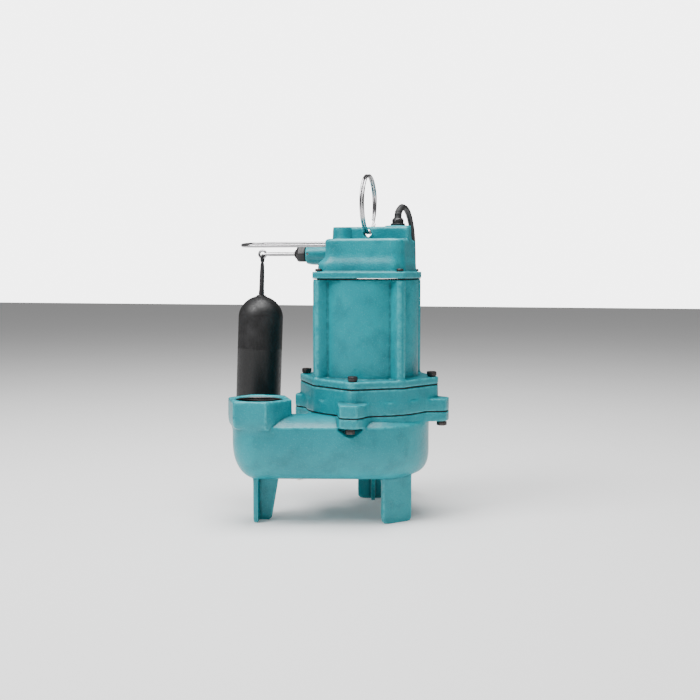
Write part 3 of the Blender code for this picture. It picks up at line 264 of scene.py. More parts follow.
class Look:
    # One material: its nodes, and the shader they feed
    def __init__(self, name, **constants):
        self.material = bpy.data.materials.new(name)
        self.material.use_nodes = True
        self.tree = self.material.node_tree
        self.shader = self.tree.nodes["Principled BSDF"]
        for key, value in constants.items():
            self.shader.inputs[key.replace("_", " ")].default_value = value
        self.place = self.add("ShaderNodeTexCoord", {}, {}, "Object")

    def add(self, kind, settings, sockets, output=0):
        node = self.tree.nodes.new(kind)
        for key, value in settings.items():
            if key == "stops":
                for _ in range(len(value) - 2):
                    node.color_ramp.elements.new(0.5)
                for element, (at, shade) in zip(node.color_ramp.elements, value):
                    element.position, element.color = at, (*shade, 1)
            else:
                setattr(node, key, value)
        for key, value in sockets.items():
            if isinstance(value, Signal):
                self.tree.links.new(value.socket, node.inputs[key])
            else:
                node.inputs[key].default_value = value
        return Signal(self, node.outputs[output])

    def noise(self, scale, detail=2.0, rough=0.5, output="Fac", vector=None, squeeze=None):
        vector = vector or self.place
        if squeeze:
            vector = self.add("ShaderNodeMapping", {}, {"Vector": vector, "Scale": squeeze})
        sockets = {"Vector": vector, "Scale": scale, "Detail": detail, "Roughness": rough}
        return self.add("ShaderNodeTexNoise", {}, sockets, output)

    def cells(self, scale, output="Distance"):
        return self.add("ShaderNodeTexVoronoi", {}, {"Vector": self.place, "Scale": scale}, output)

    def mix(self, share, first, second):
        sockets = {0: share, 6: first if isinstance(first, Signal) else (*first, 1),
                   7: second if isinstance(second, Signal) else (*second, 1)}
        return self.add("ShaderNodeMix", {"data_type": "RGBA"}, sockets, 2)

    def attribute(self, name):
        return self.add("ShaderNodeAttribute", {"attribute_name": name}, {}, "Fac")

    def feed(self, **links):
        for key, signal in links.items():
            self.tree.links.new(signal.socket, self.shader.inputs[key.replace("_", " ")])

    def bump(self, height, strength, distance, under=None):
        sockets = {"Height": height, "Strength": strength, "Distance": distance}
        if under:
            sockets["Normal"] = under
        return self.add("ShaderNodeBump", {}, sockets, "Normal")


def enamelLook():
    # The pale fourth colour tints the fine specks and is also the painted highlight on convex edges
    paint = {
        "deep": (0.000, 0.110, 0.138), "body": (0.000, 0.205, 0.245), "light": (0.001, 0.275, 0.320),
        # The darkest colour below is painted shade, laid into the concave creases
        "speckAndHighlight": (0.055, 0.420, 0.460), "paintedShade": (0.001, 0.035, 0.042), "roughness": (0.30, 0.44),
    }
    look = Look("castEnamel", Roughness=0.36, IOR=1.5, Coat_Roughness=0.18)
    look.shader.inputs["Specular IOR Level"].default_value = 0.3
    broad = look.noise(9, 3, 0.55)
    cloud = look.noise(38, 3, 0.6)
    grain = look.noise(420, 4, 0.65)
    pits = look.cells(330)
    edge = look.attribute("edge")
    shade = look.mix(broad.between(0.36, 0.66), paint["body"], paint["light"])
    shade = look.mix((cloud.between(0.45, 0.72) * 0.45), shade, paint["deep"])
    speck = look.noise(900, 2, 0.6).between(0.56, 0.70) * 0.42
    shade = look.mix(speck, shade, paint["speckAndHighlight"])
    # Painted highlight: convex cast edges (the edge attribute) are lightened towards the pale colour, broken up by
    # noise; the same mask roughens them a little
    edgeHighlight = (edge.between(0.12, 0.75) * look.noise(160, 3, 0.7).between(0.34, 0.62)).bounded()
    shade = look.mix(edgeHighlight * 0.62, shade, paint["speckAndHighlight"])
    # Painted shade: concave creases (negative edge attribute) are darkened towards the near-black teal, broken up by
    # noise; the same mask roughens them and thins the coat
    creaseShade = (0 - edge).between(0.10, 0.80) * look.noise(120, 3, 0.6).between(0.2, 0.6)
    shade = look.mix(creaseShade * 0.55, shade, paint["paintedShade"])
    low, high = paint["roughness"]
    roughness = grain.between(0.30, 0.70, low, high) + edgeHighlight * 0.10 + creaseShade * 0.18
    casting = look.bump(look.noise(70, 4, 0.55), 0.12, 0.0018)
    peel = look.bump(grain + (1 - pits) * 0.35, 0.60, 0.00080, casting)
    look.feed(Base_Color=shade, Roughness=roughness.bounded(), Normal=peel)
    look.feed(Coat_Weight=(0.16 - creaseShade * 0.14).bounded())
    return look.material


def steelLook(name, tint, dull, low, high, marks=0.35, coarse=260):
    look = Look(name, Metallic=1.0)
    scratches = look.noise(coarse, 4, 0.6, squeeze=(1, 1, 0.12))
    smudge = look.noise(45, 3, 0.6)
    shade = look.mix(smudge.between(0.35, 0.7) * marks, tint, dull)
    look.feed(Base_Color=shade, Roughness=(scratches.between(0.3, 0.7, low, high) + smudge * 0.08).bounded())
    look.feed(Normal=look.bump(scratches, 0.12, 0.0002))
    return look.material


def blackLook(name, base, dusty, low, high, grainScale, bumpStrength, dust=0.5):
    look = Look(name, IOR=1.48)
    grain = look.noise(grainScale, 4, 0.62)
    cloud = look.noise(28, 3, 0.55)
    dustMask = (cloud.between(0.48, 0.75) * dust).bounded()
    shade = look.mix(dustMask, base, dusty)
    shade = look.mix(grain.between(0.55, 0.8) * 0.25, shade, dusty)
    look.feed(Base_Color=shade, Roughness=(grain.between(0.3, 0.7, low, high) + dustMask * 0.2).bounded())
    look.feed(Normal=look.bump(grain, bumpStrength, 0.0004))
    return look.material


def jacketLook():
    # The cord's jacket: a fine grain and a dusting, from object coordinates
    look = Look("cordJacket", IOR=1.5)
    grain = look.noise(900, 3, 0.6)
    cloud = look.noise(30, 3, 0.6)
    shade = look.mix(cloud.between(0.5, 0.75) * 0.6, (0.010, 0.010, 0.011), (0.030, 0.030, 0.032))
    look.feed(Base_Color=shade, Roughness=grain.between(0.3, 0.7, 0.38, 0.55))
    look.feed(Normal=look.bump(grain, 0.25, 0.0002))
    return look.material


def floorLook():
    look = Look("paleFloor", Roughness=0.72)
    look.shader.inputs["Specular IOR Level"].default_value = 0.25
    look.shader.inputs["Emission Color"].default_value = (1.0, 1.0, 1.0, 1)
    look.shader.inputs["Emission Strength"].default_value = 0.12
    cloud = look.noise(2.2, 2, 0.5)
    look.feed(Base_Color=look.mix(cloud, (0.86, 0.86, 0.86), (0.89, 0.89, 0.89)))
    look.feed(Roughness=cloud.between(0.2, 0.8, 0.68, 0.78))
    return look.material


def copperLook():
    look = Look("windingCopper", Metallic=0.85)
    strands = look.add("ShaderNodeTexWave", {"wave_type": "RINGS", "rings_direction": "Z"},
                       {"Vector": look.place, "Scale": 160.0, "Distortion": 2.5, "Detail": 2.0, "Detail Scale": 30.0})
    varnish = look.noise(60, 3, 0.6)
    shade = look.mix(strands, (0.28, 0.085, 0.030), (0.70, 0.31, 0.13))
    look.feed(Base_Color=look.mix(varnish * 0.5, shade, (0.20, 0.05, 0.02)))
    look.feed(Roughness=varnish.between(0.3, 0.7, 0.28, 0.5), Normal=look.bump(strands, 0.6, 0.0005))
    return look.material


def laminationLook():
    look = Look("laminatedSteel", Metallic=0.9)
    layers = look.add("ShaderNodeTexWave", {"bands_direction": "Z"},
                      {"Vector": look.place, "Scale": 320.0, "Distortion": 0.3, "Detail": 1.0})
    rust = look.noise(80, 4, 0.6)
    shade = look.mix(layers, (0.16, 0.16, 0.17), (0.36, 0.36, 0.38))
    look.feed(Base_Color=look.mix(rust.between(0.6, 0.8) * 0.4, shade, (0.25, 0.12, 0.06)))
    look.feed(Roughness=layers.between(0, 1, 0.38, 0.6), Normal=look.bump(layers, 0.4, 0.0003))
    return look.material


def makeLooks():
    made = {
        "enamel": enamelLook(),
        "brightSteel": steelLook("brightSteel", (0.66, 0.66, 0.65), (0.40, 0.39, 0.37), 0.16, 0.30),
        "darkSteel": steelLook("darkSteel", (0.055, 0.050, 0.052), (0.12, 0.10, 0.09), 0.34, 0.55, 0.6),
        "wireSteel": steelLook("wireSteel", (0.46, 0.45, 0.46), (0.30, 0.29, 0.30), 0.12, 0.22, 0.3, 180),
        "bronze": steelLook("castBronze", (0.50, 0.33, 0.14), (0.22, 0.14, 0.07), 0.30, 0.52, 0.7, 120),
        "brass": steelLook("brassBlade", (0.78, 0.57, 0.25), (0.50, 0.34, 0.14), 0.18, 0.34, 0.5),
        "plastic": blackLook("mouldedPlastic", (0.016, 0.0145, 0.016), (0.050, 0.047, 0.050), 0.34, 0.52, 700, 0.28),
        "floatSkin": blackLook("floatSkin", (0.0050, 0.0048, 0.0052), (0.016, 0.0155, 0.017), 0.36, 0.56, 420, 0.30,
                               0.8),
        "rubber": blackLook("blackRubber", (0.012, 0.012, 0.013), (0.034, 0.034, 0.035), 0.5, 0.7, 500, 0.35),
        "gasket": blackLook("gasketSheet", (0.010, 0.010, 0.010), (0.03, 0.03, 0.03), 0.7, 0.9, 800, 0.4),
        "ceramic": blackLook("sealCeramic", (0.74, 0.72, 0.66), (0.60, 0.58, 0.52), 0.22, 0.38, 500, 0.1),
        "copper": copperLook(),
        "lamination": laminationLook(),
        "jacket": jacketLook(),
        "floor": floorLook(),
    }
    print("materials made:", len(made))
    return made


looks = makeLooks()


# Cord

def smoothRoute(points, spacing):
    # Catmull-Rom through the points, read off at even steps
    points = [Vector(point) for point in points]
    ends = [2 * points[0] - points[1], *points, 2 * points[-1] - points[-2]]
    fine = []
    for a, b, c, d in zip(ends, ends[1:], ends[2:], ends[3:]):
        for i in range(20):
            t = i / 20
            fine.append(0.5 * (2 * b + (c - a) * t + (2 * a - 5 * b + 4 * c - d) * t ** 2
                               + (3 * b - a - 3 * c + d) * t ** 3))
    fine.append(points[-1])
    total = sum((b - a).length for a, b in zip(fine, fine[1:]))
    count = round(total / spacing)
    route, travelled, step = [fine[0]], 0.0, total / count
    for a, b in zip(fine, fine[1:]):
        travelled += (b - a).length
        if travelled >= step * len(route) - 1e-9 and len(route) < count:
            route.append(b)
    route.append(fine[-1])
    return route


def cordRoute(cord):
    fall = [fromShaft(*point) for point in cord["fromGland"]]
    fall += [fromVolute(*point) for point in cord["alongFloor"]]
    route = smoothRoute(fall, 0.007)
    pitch, inner, rows = cord["pitch"], cord["innerTurn"], cord["turnsAcross"]
    middleX, middleY = cord["coilMiddle"]
    low, high = pitch / 2, pitch * 1.5 + 0.0002
    stations = [(inner + pitch * (rows - 1 - i), low) for i in range(rows)]
    stations += [(inner + pitch * i, high) for i in range(rows)]
    perTurn = 40
    turned = []
    for level, (radius, height) in enumerate(stations):
        last = level == len(stations) - 1
        nextRadius, nextHeight = stations[min(level + 1, len(stations) - 1)]
        for i in range(perTurn // 2 + 1 if last else perTurn):
            share = max(0.0, (i / perTurn - 0.72) / 0.28)
            share = share * share * (3 - 2 * share)
            if last:
                share = 0.0
            angle = 2 * pi * i / perTurn
            r = radius + (nextRadius - radius) * share
            z = height + (nextHeight - height) * share
            turned.append(fromVolute(middleX + r * cos(angle), middleY + r * sin(angle), z))
    tail = [fromVolute(*point) for point in cord["tail"]]
    ending = smoothRoute([turned[-3], turned[-1], *tail], 0.006)
    return route[:-2] + turned[1:-2] + ending[0:]


def makeCord():
    cord = {
        "radius": 0.00375,
        "fromGland": (
            (0.0340, 0.0160, 0.3705), (0.0340, 0.0160, 0.3735), (0.0345, 0.0196, 0.3790), (0.0362, 0.0310, 0.3850),
            (0.0383, 0.0465, 0.3835), (0.0400, 0.0600, 0.3745), (0.0413, 0.0700, 0.3590), (0.0420, 0.0755, 0.3380),
            (0.0422, 0.0775, 0.3100), (0.0425, 0.0785, 0.2600), (0.0430, 0.0805, 0.2000), (0.0440, 0.0850, 0.1400),
        ),
        "alongFloor": (
            (0.0640, 0.0800, 0.0850), (0.0610, 0.0960, 0.0520), (0.0540, 0.1180, 0.0290), (0.0430, 0.1450, 0.0140),
            (0.0320, 0.1740, 0.0063), (0.0225, 0.2030, 0.0041), (0.0155, 0.2320, 0.0038), (0.01325, 0.2620, 0.0038),
        ),
        "coilMiddle": (-0.040, 0.262), "pitch": 0.0076, "innerTurn": 0.0305, "turnsAcross": 4,
        "tail": ((-0.0945, 0.2500, 0.0112), (-0.0975, 0.2430, 0.0120), (-0.0997, 0.2400, 0.0124),
                 (-0.10105, 0.2366, 0.0125)),
    }
    route = cordRoute(cord)
    line = bpy.data.curves.new("powerCord", "CURVE")
    line.dimensions = "3D"
    line.bevel_depth = cord["radius"]
    line.bevel_resolution = 3
    line.use_fill_caps = True
    spline = line.splines.new("POLY")
    spline.points.add(len(route) - 1)
    for point, at in zip(spline.points, route):
        point.co = (*at, 1)
    spline.use_smooth = True
    piece = bpy.data.objects.new("powerCord", line)
    bpy.context.scene.collection.objects.link(piece)
    line.materials.append(looks["jacket"])
    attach(piece, "pump")
    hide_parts("cord", "cord_coil", "cord_tail")
    length = sum((b - a).length for a, b in zip(route, route[1:]))
    print("cord", round(length, 3), "m,", len(route), "points")
    return piece, cord, route


powerCord, cordFacts, cordLine = makeCord()


# Castings

def quadTables(mesh):
    co = np.empty(len(mesh.vertices) * 3)
    mesh.vertices.foreach_get("co", co)
    corners = np.empty(len(mesh.loops), np.int64)
    mesh.loops.foreach_get("vertex_index", corners)
    edges = np.empty(len(mesh.loops), np.int64)
    mesh.loops.foreach_get("edge_index", edges)
    return co.reshape(-1, 3), corners, edges


def gather(index, values, count):
    return np.stack([np.bincount(index, values[:, k], count) for k in range(3)], 1)


def unit(vectors):
    return vectors / np.maximum(np.linalg.norm(vectors, axis=1, keepdims=True), 1e-12)


def calmSurface(piece, facet=38, rounds=90, moves=60, soften=5):
    # Evens out the flats between edges that turn by less than the facet angle, and keeps the sharper edges
    mesh = piece.data
    co, corners, edges = quadTables(mesh)
    quads = corners.reshape(-1, 4)
    faceOf = np.repeat(np.arange(len(quads)), 4)
    order = np.argsort(edges, kind="stable")
    same = np.flatnonzero(edges[order][1:] == edges[order][:-1])
    first, second = faceOf[order][same], faceOf[order][same + 1]
    normals = unit(np.cross(co[quads[:, 2]] - co[quads[:, 0]], co[quads[:, 3]] - co[quads[:, 1]]))
    limit = cos(radians(facet))
    for _ in range(rounds):
        weight = np.maximum((normals[first] * normals[second]).sum(1) - limit, 0)[:, None] ** 2
        total = normals * 0.01
        total += gather(first, weight * normals[second], len(quads))
        total += gather(second, weight * normals[first], len(quads))
        normals = unit(total)
    valence = np.maximum(np.bincount(corners, minlength=len(co)), 1)[:, None]
    for _ in range(moves):
        middles = co[quads].mean(1)
        away = ((middles[faceOf] - co[corners]) * normals[faceOf]).sum(1, keepdims=True)
        co = co + gather(corners, normals[faceOf] * away, len(co)) / valence
    ends = np.empty(len(mesh.edges) * 2, np.int64)
    mesh.edges.foreach_get("vertices", ends)
    ends = ends.reshape(-1, 2)
    linked = np.maximum(np.bincount(ends.ravel(), minlength=len(co)), 1)[:, None]

    def relaxed(points, times):
        for _ in range(times):
            near = gather(ends[:, 0], points[ends[:, 1]], len(points))
            near = near + gather(ends[:, 1], points[ends[:, 0]], len(points))
            points = points + 0.5 * (near / linked - points)
        return points

    co = relaxed(co, soften)
    outward = unit(gather(corners, normals[faceOf], len(co)))
    bulge = ((co - relaxed(co, 14)) * outward).sum(1)
    co[:, 2] = np.maximum(co[:, 2], 0)
    mesh.vertices.foreach_set("co", co.ravel())
    mesh.update()
    return bulge


def refineCasting(name, newName, facts):
    piece = bpy.data.objects.new(newName, nodes[name].data.copy())
    piece.data.name = newName
    bpy.context.scene.collection.objects.link(piece)
    useOnly(piece)
    bpy.ops.object.mode_set(mode="EDIT")
    bpy.ops.mesh.select_all(action="SELECT")
    bpy.ops.mesh.remove_doubles(threshold=1e-6)
    closeEdit()
    voxel = facts["voxel"] * 1
    apply(piece, "REMESH", mode="VOXEL", voxel_size=voxel)
    bulge = calmSurface(piece, facts["facet"], facts["rounds"], facts["moves"], facts["soften"])
    shape = np.clip(bulge / (voxel * 0.42), -1, 1)
    layer = piece.data.attributes.new("edge", "FLOAT", "POINT")
    layer.data.foreach_set("value", shape.astype(np.float32))
    triangles = 2 * len(piece.data.polygons)
    if triangles > facts["triangles"]:
        apply(piece, "DECIMATE", ratio=facts["triangles"] / triangles)
    useOnly(piece)
    bpy.ops.object.shade_smooth()
    place(piece, "pump", "enamel", name, look=looks["enamel"])
    print(newName, len(piece.data.polygons), "faces")
    return piece


def makeCastings():
    usual = {"voxel": 0.0011, "facet": 38, "rounds": 90, "moves": 60, "soften": 4, "triangles": 150000}
    for name, newName, own in (
        ("volute_casing", "voluteCasting", {"voxel": 0.00115, "triangles": 190000, "facet": 24, "soften": 3}),
        ("seal_housing", "sealHousingCasting", {"facet": 22, "soften": 3}),
        ("motor_housing", "motorHousingCasting", {"facet": 16, "soften": 2}),
        ("motor_cap", "motorCapCasting", {"voxel": 0.0009, "facet": 24, "soften": 3}),
    ):
        refineCasting(name, newName, usual | own)


makeCastings()


def makeThread():
    # The pipe thread inside the discharge, a helical ridge on a thin sleeve
    thread = {"bore": 0.0286, "crest": 0.0274, "wall": 0.0294, "pitch": 0.0022, "turns": 11, "top": 0.1496, "steps": 72}
    piece = startPiece("dischargeThread", "circle", vertices=4, radius=0.001)
    low = thread["top"] - thread["pitch"] * thread["turns"]
    spots = ((thread["wall"], 0.0), (thread["bore"], 0.0), (thread["crest"], 0.5), (thread["bore"], 0.96))
    useOnly(piece)
    bpy.ops.object.mode_set(mode="EDIT")
    mesh = bmesh.from_edit_mesh(piece.data)
    for vertex, (radius, share) in zip(list(mesh.verts), spots):
        vertex.co = (radius, 0, low + share * thread["pitch"])
    bmesh.update_edit_mesh(piece.data)
    closeEdit()
    useOnly(piece)
    bpy.ops.object.mode_set(mode="EDIT")
    bpy.ops.mesh.select_all(action="SELECT")
    bpy.ops.mesh.edge_face_add()
    closeEdit()
    apply(piece, "SCREW", axis="Z", steps=thread["steps"], render_steps=thread["steps"], iterations=thread["turns"],
          screw_offset=thread["pitch"], use_merge_vertices=False)
    useOnly(piece)
    bpy.ops.object.mode_set(mode="EDIT")
    bpy.ops.mesh.select_all(action="SELECT")
    bpy.ops.mesh.remove_doubles(threshold=1e-6)
    bpy.ops.mesh.normals_make_consistent(inside=False)
    closeEdit()
    outlet = fromVolute(-0.1307, -0.0555, 0)
    settle(piece, Matrix.Translation(outlet))
    smoothShade(piece, 30)
    place(piece, "pump", "dark_steel", look=looks["darkSteel"])


makeThread()


# Bolts and screws

def hexBolt():
    bolt = {"corner": 0.0064, "head": 0.0043, "washer": 0.0052, "washerHeight": 0.0014, "shank": 0.0031,
            "length": 0.0205}
    base = bolt["washerHeight"]
    head = startPiece("head", "cylinder", vertices=6, radius=bolt["corner"], depth=bolt["head"],
                      location=(0, 0, base + bolt["head"] / 2))
    openEdit(head, "FACE", lambda middle, normal: normal.z > 0.9)
    bpy.ops.mesh.inset(thickness=0.0009, depth=0.0)
    bpy.ops.transform.translate(value=(0, 0, 0.00055))
    bpy.ops.mesh.inset(thickness=0.0016, depth=0.0)
    bpy.ops.transform.translate(value=(0, 0, -0.00035))
    closeEdit()
    apply(head, "BEVEL", width=0.00028, segments=3, limit_method="ANGLE", angle_limit=radians(20))
    washer = turnUp("washer", [(bolt["shank"], 0.0), (bolt["washer"] - 0.0003, 0.0), (bolt["washer"], 0.0003),
                               (bolt["washer"], base - 0.0003), (bolt["washer"] - 0.0003, base), (bolt["shank"], base)],
                    32, closed=True)
    openEdit(washer, "FACE", lambda middle, normal: middle.x > 0 and abs(middle.y) < 0.0006 and normal.z > 0.9)
    bpy.ops.transform.translate(value=(0, 0, -0.0003))
    closeEdit()
    shank = turnUp("shank", [(bolt["shank"], base + 0.001), (bolt["shank"], 0.0005 - bolt["length"]),
                             (bolt["shank"] - 0.0007, -bolt["length"])], 16)
    return smoothShade(joinPieces("hexBolt", head, washer, shank), 32)


def capScrew():
    screw = {"radius": 0.0042, "height": 0.0032, "shank": 0.0019, "length": 0.0234}
    head = startPiece("head", "cylinder", vertices=32, radius=screw["radius"], depth=screw["height"],
                      location=(0, 0, screw["height"] / 2))
    openEdit(head, "EDGE", lambda middle, along: middle.z > screw["height"] - 1e-5)
    bpy.ops.mesh.bevel(offset=0.0011, segments=4, affect="EDGES")
    closeEdit()
    openEdit(head, "FACE", lambda middle, normal: normal.z > 0.99 and middle.z > screw["height"] - 1e-5)
    bpy.ops.mesh.inset(thickness=0.0010, depth=0.0)
    bpy.ops.mesh.inset(thickness=0.0001, depth=-0.0014)
    closeEdit()
    shank = turnUp("shank", [(screw["shank"], 0.0005), (screw["shank"], 0.0004 - screw["length"]),
                             (screw["shank"] - 0.0005, -screw["length"])], 14)
    return smoothShade(joinPieces("capScrew", head, shank), 32)


def headTop(name, up):
    low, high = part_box(name)
    return high.z if up else low.z


def makeBolts():
    seats = {"headHeight": 0.0048, "screwHead": 0.0032}
    bolt, screw = hexBolt(), capScrew()
    for group, master, up, height in (("motor_bolt", bolt, True, seats["headHeight"]),
                                      ("volute_bolt", bolt, False, seats["headHeight"]),
                                      ("cap_screw", screw, True, seats["screwHead"])):
        for i in range(1, 5):
            name = f"{group}_{i}"
            at = middleOf(name)
            seat = headTop(name, up) - (height if up else -height)
            matrix = Matrix.Translation((at.x, at.y, seat)) @ Matrix.Rotation(0 if up else pi, 4, "X")
            matrix = matrix @ Matrix.Rotation(0.37 * i, 4, "Z")
            words = name.split("_")
            made = copyOf(master, words[0] + words[1].title() + words[2], matrix)
            place(made, "pump", "dark_steel", name, look=looks["darkSteel"])
    for master in (bolt, screw):
        bpy.data.objects.remove(master)
    print("bolts set")


makeBolts()


# Wires: the lifting ring, the float's guard and the arm

def wirePiece(name, points, radius, closed=False, sides=5, widths=None):
    line = bpy.data.curves.new(name, "CURVE")
    line.dimensions = "3D"
    line.bevel_depth = radius
    line.bevel_resolution = sides
    line.use_fill_caps = not closed
    spline = line.splines.new("POLY")
    spline.points.add(len(points) - 1)
    for i, (point, at) in enumerate(zip(spline.points, points)):
        point.co = (*at, 1)
        point.radius = widths[i] if widths else 1
    spline.use_cyclic_u = closed
    piece = bpy.data.objects.new(name, line)
    bpy.context.scene.collection.objects.link(piece)
    useOnly(piece)
    bpy.ops.object.convert(target="MESH")
    piece = bpy.context.active_object
    piece.name = piece.data.name = name
    return smoothShade(piece, 50)


def makeRing():
    ring = {"radius": 0.03555, "wire": 0.00145, "pitch": 0.0031, "turns": 1.97, "perTurn": 96, "start": -30}
    low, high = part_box("lifting_ring")
    middle = (low + high) / 2
    foot = Vector((shaftX, shaftY, 0.3515))
    count = int(ring["turns"] * ring["perTurn"])
    points = []
    for i in range(count + 1):
        share = i / count
        angle = radians(ring["start"]) + 2 * pi * ring["turns"] * share
        slide = ring["pitch"] * (min(max((share - 0.42) / 0.16, 0), 1) - 0.5)
        points.append(foot + Vector((slide, ring["radius"] * cos(angle), ring["radius"] * (1 + sin(angle)))))
    piece = wirePiece("liftingSplitRing", points, ring["wire"])
    place(piece, "ring", "bright_steel", "lifting_ring", look=looks["wireSteel"])
    return middle


def makeGuard():
    guard = {"wire": 0.00225, "radius": 0.0215, "middle": -0.1430, "height": 0.338, "roll": radians(5), "root": -0.0405}
    flat = [(guard["root"], -guard["radius"]), (-0.060, -guard["radius"]), (-0.090, -guard["radius"])]
    flat.append((-0.120, -guard["radius"]))
    for i in range(33):
        turn = pi * i / 32
        flat.append((guard["middle"] - guard["radius"] * sin(turn), -guard["radius"] * cos(turn)))
    flat += [(x, -y) for x, y in reversed(flat[:4])]
    points = [fromShaft(x, y * cos(guard["roll"]), guard["height"] + y * sin(guard["roll"])) for x, y in flat]
    piece = wirePiece("floatGuardWire", points, guard["wire"])
    place(piece, "pump", "bright_steel", "float_guard", look=looks["wireSteel"])


def makeArm():
    arm = {"height": 0.326, "pivot": -0.076, "tip": -0.139, "rod": 0.0025, "lever": 0.0018, "leverEnd": -0.024,
           "eye": 0.0045, "eyeWire": 0.0016, "hub": 0.0042, "pin": 0.0018}
    rod = turnUp("rod", [(0.0021, 0.0), (arm["rod"], 0.0004), (arm["rod"], 0.052), (0.0022, 0.0565), (0.0019, 0.0595)],
                 24, alongX(*fromShaft(arm["pivot"] - 0.001, 0, arm["height"])))
    eye = startPiece("eye", "torus", major_radius=arm["eye"], minor_radius=arm["eyeWire"], major_segments=40,
                     minor_segments=14, location=fromShaft(arm["tip"], 0, arm["height"]), rotation=(pi / 2, 0, 0))
    lever = turnUp("lever", [(arm["lever"] - 0.0003, 0.0), (arm["lever"], 0.0003), (arm["lever"], 0.0515),
                             (arm["lever"] - 0.0004, 0.052)], 16,
                   alongX(*fromShaft(arm["leverEnd"], 0, arm["height"])))
    hub = turnUp("hub", [(arm["pin"], -0.003), (arm["hub"] - 0.0004, -0.003), (arm["hub"], -0.0026),
                         (arm["hub"], 0.0026), (arm["hub"] - 0.0004, 0.003), (arm["pin"], 0.003)], 24,
                 Matrix.Translation(fromShaft(arm["pivot"], 0, arm["height"])) @ Matrix.Rotation(pi / 2, 4, "X"),
                 closed=True)
    piece = smoothShade(joinPieces("switchArmRod", rod, eye, lever, hub), 40)
    place(piece, "arm", "bright_steel", "switch_arm", look=looks["wireSteel"])


makeRing()
makeGuard()
makeArm()
print("wires bent")


# Float, its stem and the switch's nut and boot

def makeFloat():
    drum = {"radius": 0.0286, "top": -0.0521, "bottom": -0.2101, "lean": radians(2.2), "seam": 0.00012,
            "collar": 0.0062, "stem": 0.00325, "hook": 0.0044, "hookWire": 0.0015}
    hang = fromShaft(-0.139, 0, 0.3249)
    matrix = Matrix.Translation(hang) @ Matrix.Rotation(drum["lean"], 4, "Y")
    r, top, bottom = drum["radius"], drum["top"], drum["bottom"]
    quarter = [pi / 2 * i / 16 for i in range(1, 17)]
    seam = (top + bottom) / 2 + 0.012
    profile = [(r * sin(t), bottom + r - r * cos(t)) for t in quarter]
    raised = r + drum["seam"]
    profile += [(r, seam - 0.0016), (raised, seam - 0.0009), (raised, seam + 0.0009), (r, seam + 0.0016)]
    profile += [(r * cos(t), top - r + r * sin(t)) for t in quarter[:-1]]
    profile = [(radius, height) for radius, height in profile if height < top - 0.0007 or radius > drum["collar"]]
    lip = profile[-1][1]
    collar = drum["collar"]
    profile += [(collar, lip + 0.0009), (collar - 0.0005, lip + 0.0022), (drum["stem"] + 0.0004, lip + 0.0024)]
    body = turnUp("floatDrum", profile, 96, matrix)
    smoothShade(body, 40)
    place(body, "float", "black_plastic", "float", look=looks["floatSkin"])
    w, at = drum["stem"], top + 0.0005
    stem = turnUp("stem", [(w * 0.9, at - 0.012), (w * 1.12, at - 0.011), (w * 1.12, at + 0.004), (w, at + 0.0075),
                           (w * 0.93, -0.022), (w * 0.80, -0.0125), (w * 0.55, -0.0090), (w * 0.42, -0.0078)], 28, matrix)
    hookAt = matrix @ Matrix.Translation((0, 0, -drum["hook"])) @ Matrix.Rotation(pi / 2, 4, "Y")
    hook = startPiece("hook", "torus", major_radius=drum["hook"], minor_radius=drum["hookWire"], major_segments=36,
                      minor_segments=12)
    settle(hook, hookAt)
    piece = smoothShade(joinPieces("floatStemHook", stem, hook), 40)
    place(piece, "float", "black_plastic", "float_hook", look=looks["plastic"])


def makeNutAndBoot():
    nut = {"corner": 0.01137, "length": 0.0115, "bore": 0.0062, "face": -0.0918, "height": 0.326}
    r, length, bore = nut["corner"], nut["length"], nut["bore"]
    body = turnUp("bootNut", [(bore, 0.0), (r - 0.0006, 0.0), (r, 0.0006), (r, length - 0.003), (r - 0.0022, length),
                              (bore + 0.001, length), (bore, length - 0.001)], 6,
                  alongX(*fromShaft(nut["face"] + length, 0, nut["height"])), closed=True)
    apply(body, "BEVEL", width=0.0006, segments=3, limit_method="ANGLE", angle_limit=radians(25))
    smoothShade(body, 35)
    place(body, "pump", "black_plastic", "boot_nut", look=looks["plastic"])
    low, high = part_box("arm_boot")
    length = high.x - low.x
    profile = [(0.0027, 0.0), (0.0056, 0.0), (0.0058, 0.0004), (0.0058, length * 0.34), (0.0050, length * 0.44)]
    profile += [(0.0053, length * 0.56), (0.0044, length * 0.68), (0.0046, length * 0.82), (0.0038, length)]
    profile += [(0.0027, length)]
    boot = turnUp("armBoot", profile, 36, alongX(high.x, shaftY, nut["height"]), closed=True)
    smoothShade(boot, 45)
    place(boot, "arm", "black_rubber", "arm_boot", look=looks["rubber"])


makeFloat()
makeNutAndBoot()
print("float hung")


# Cord gland, strain relief and plug

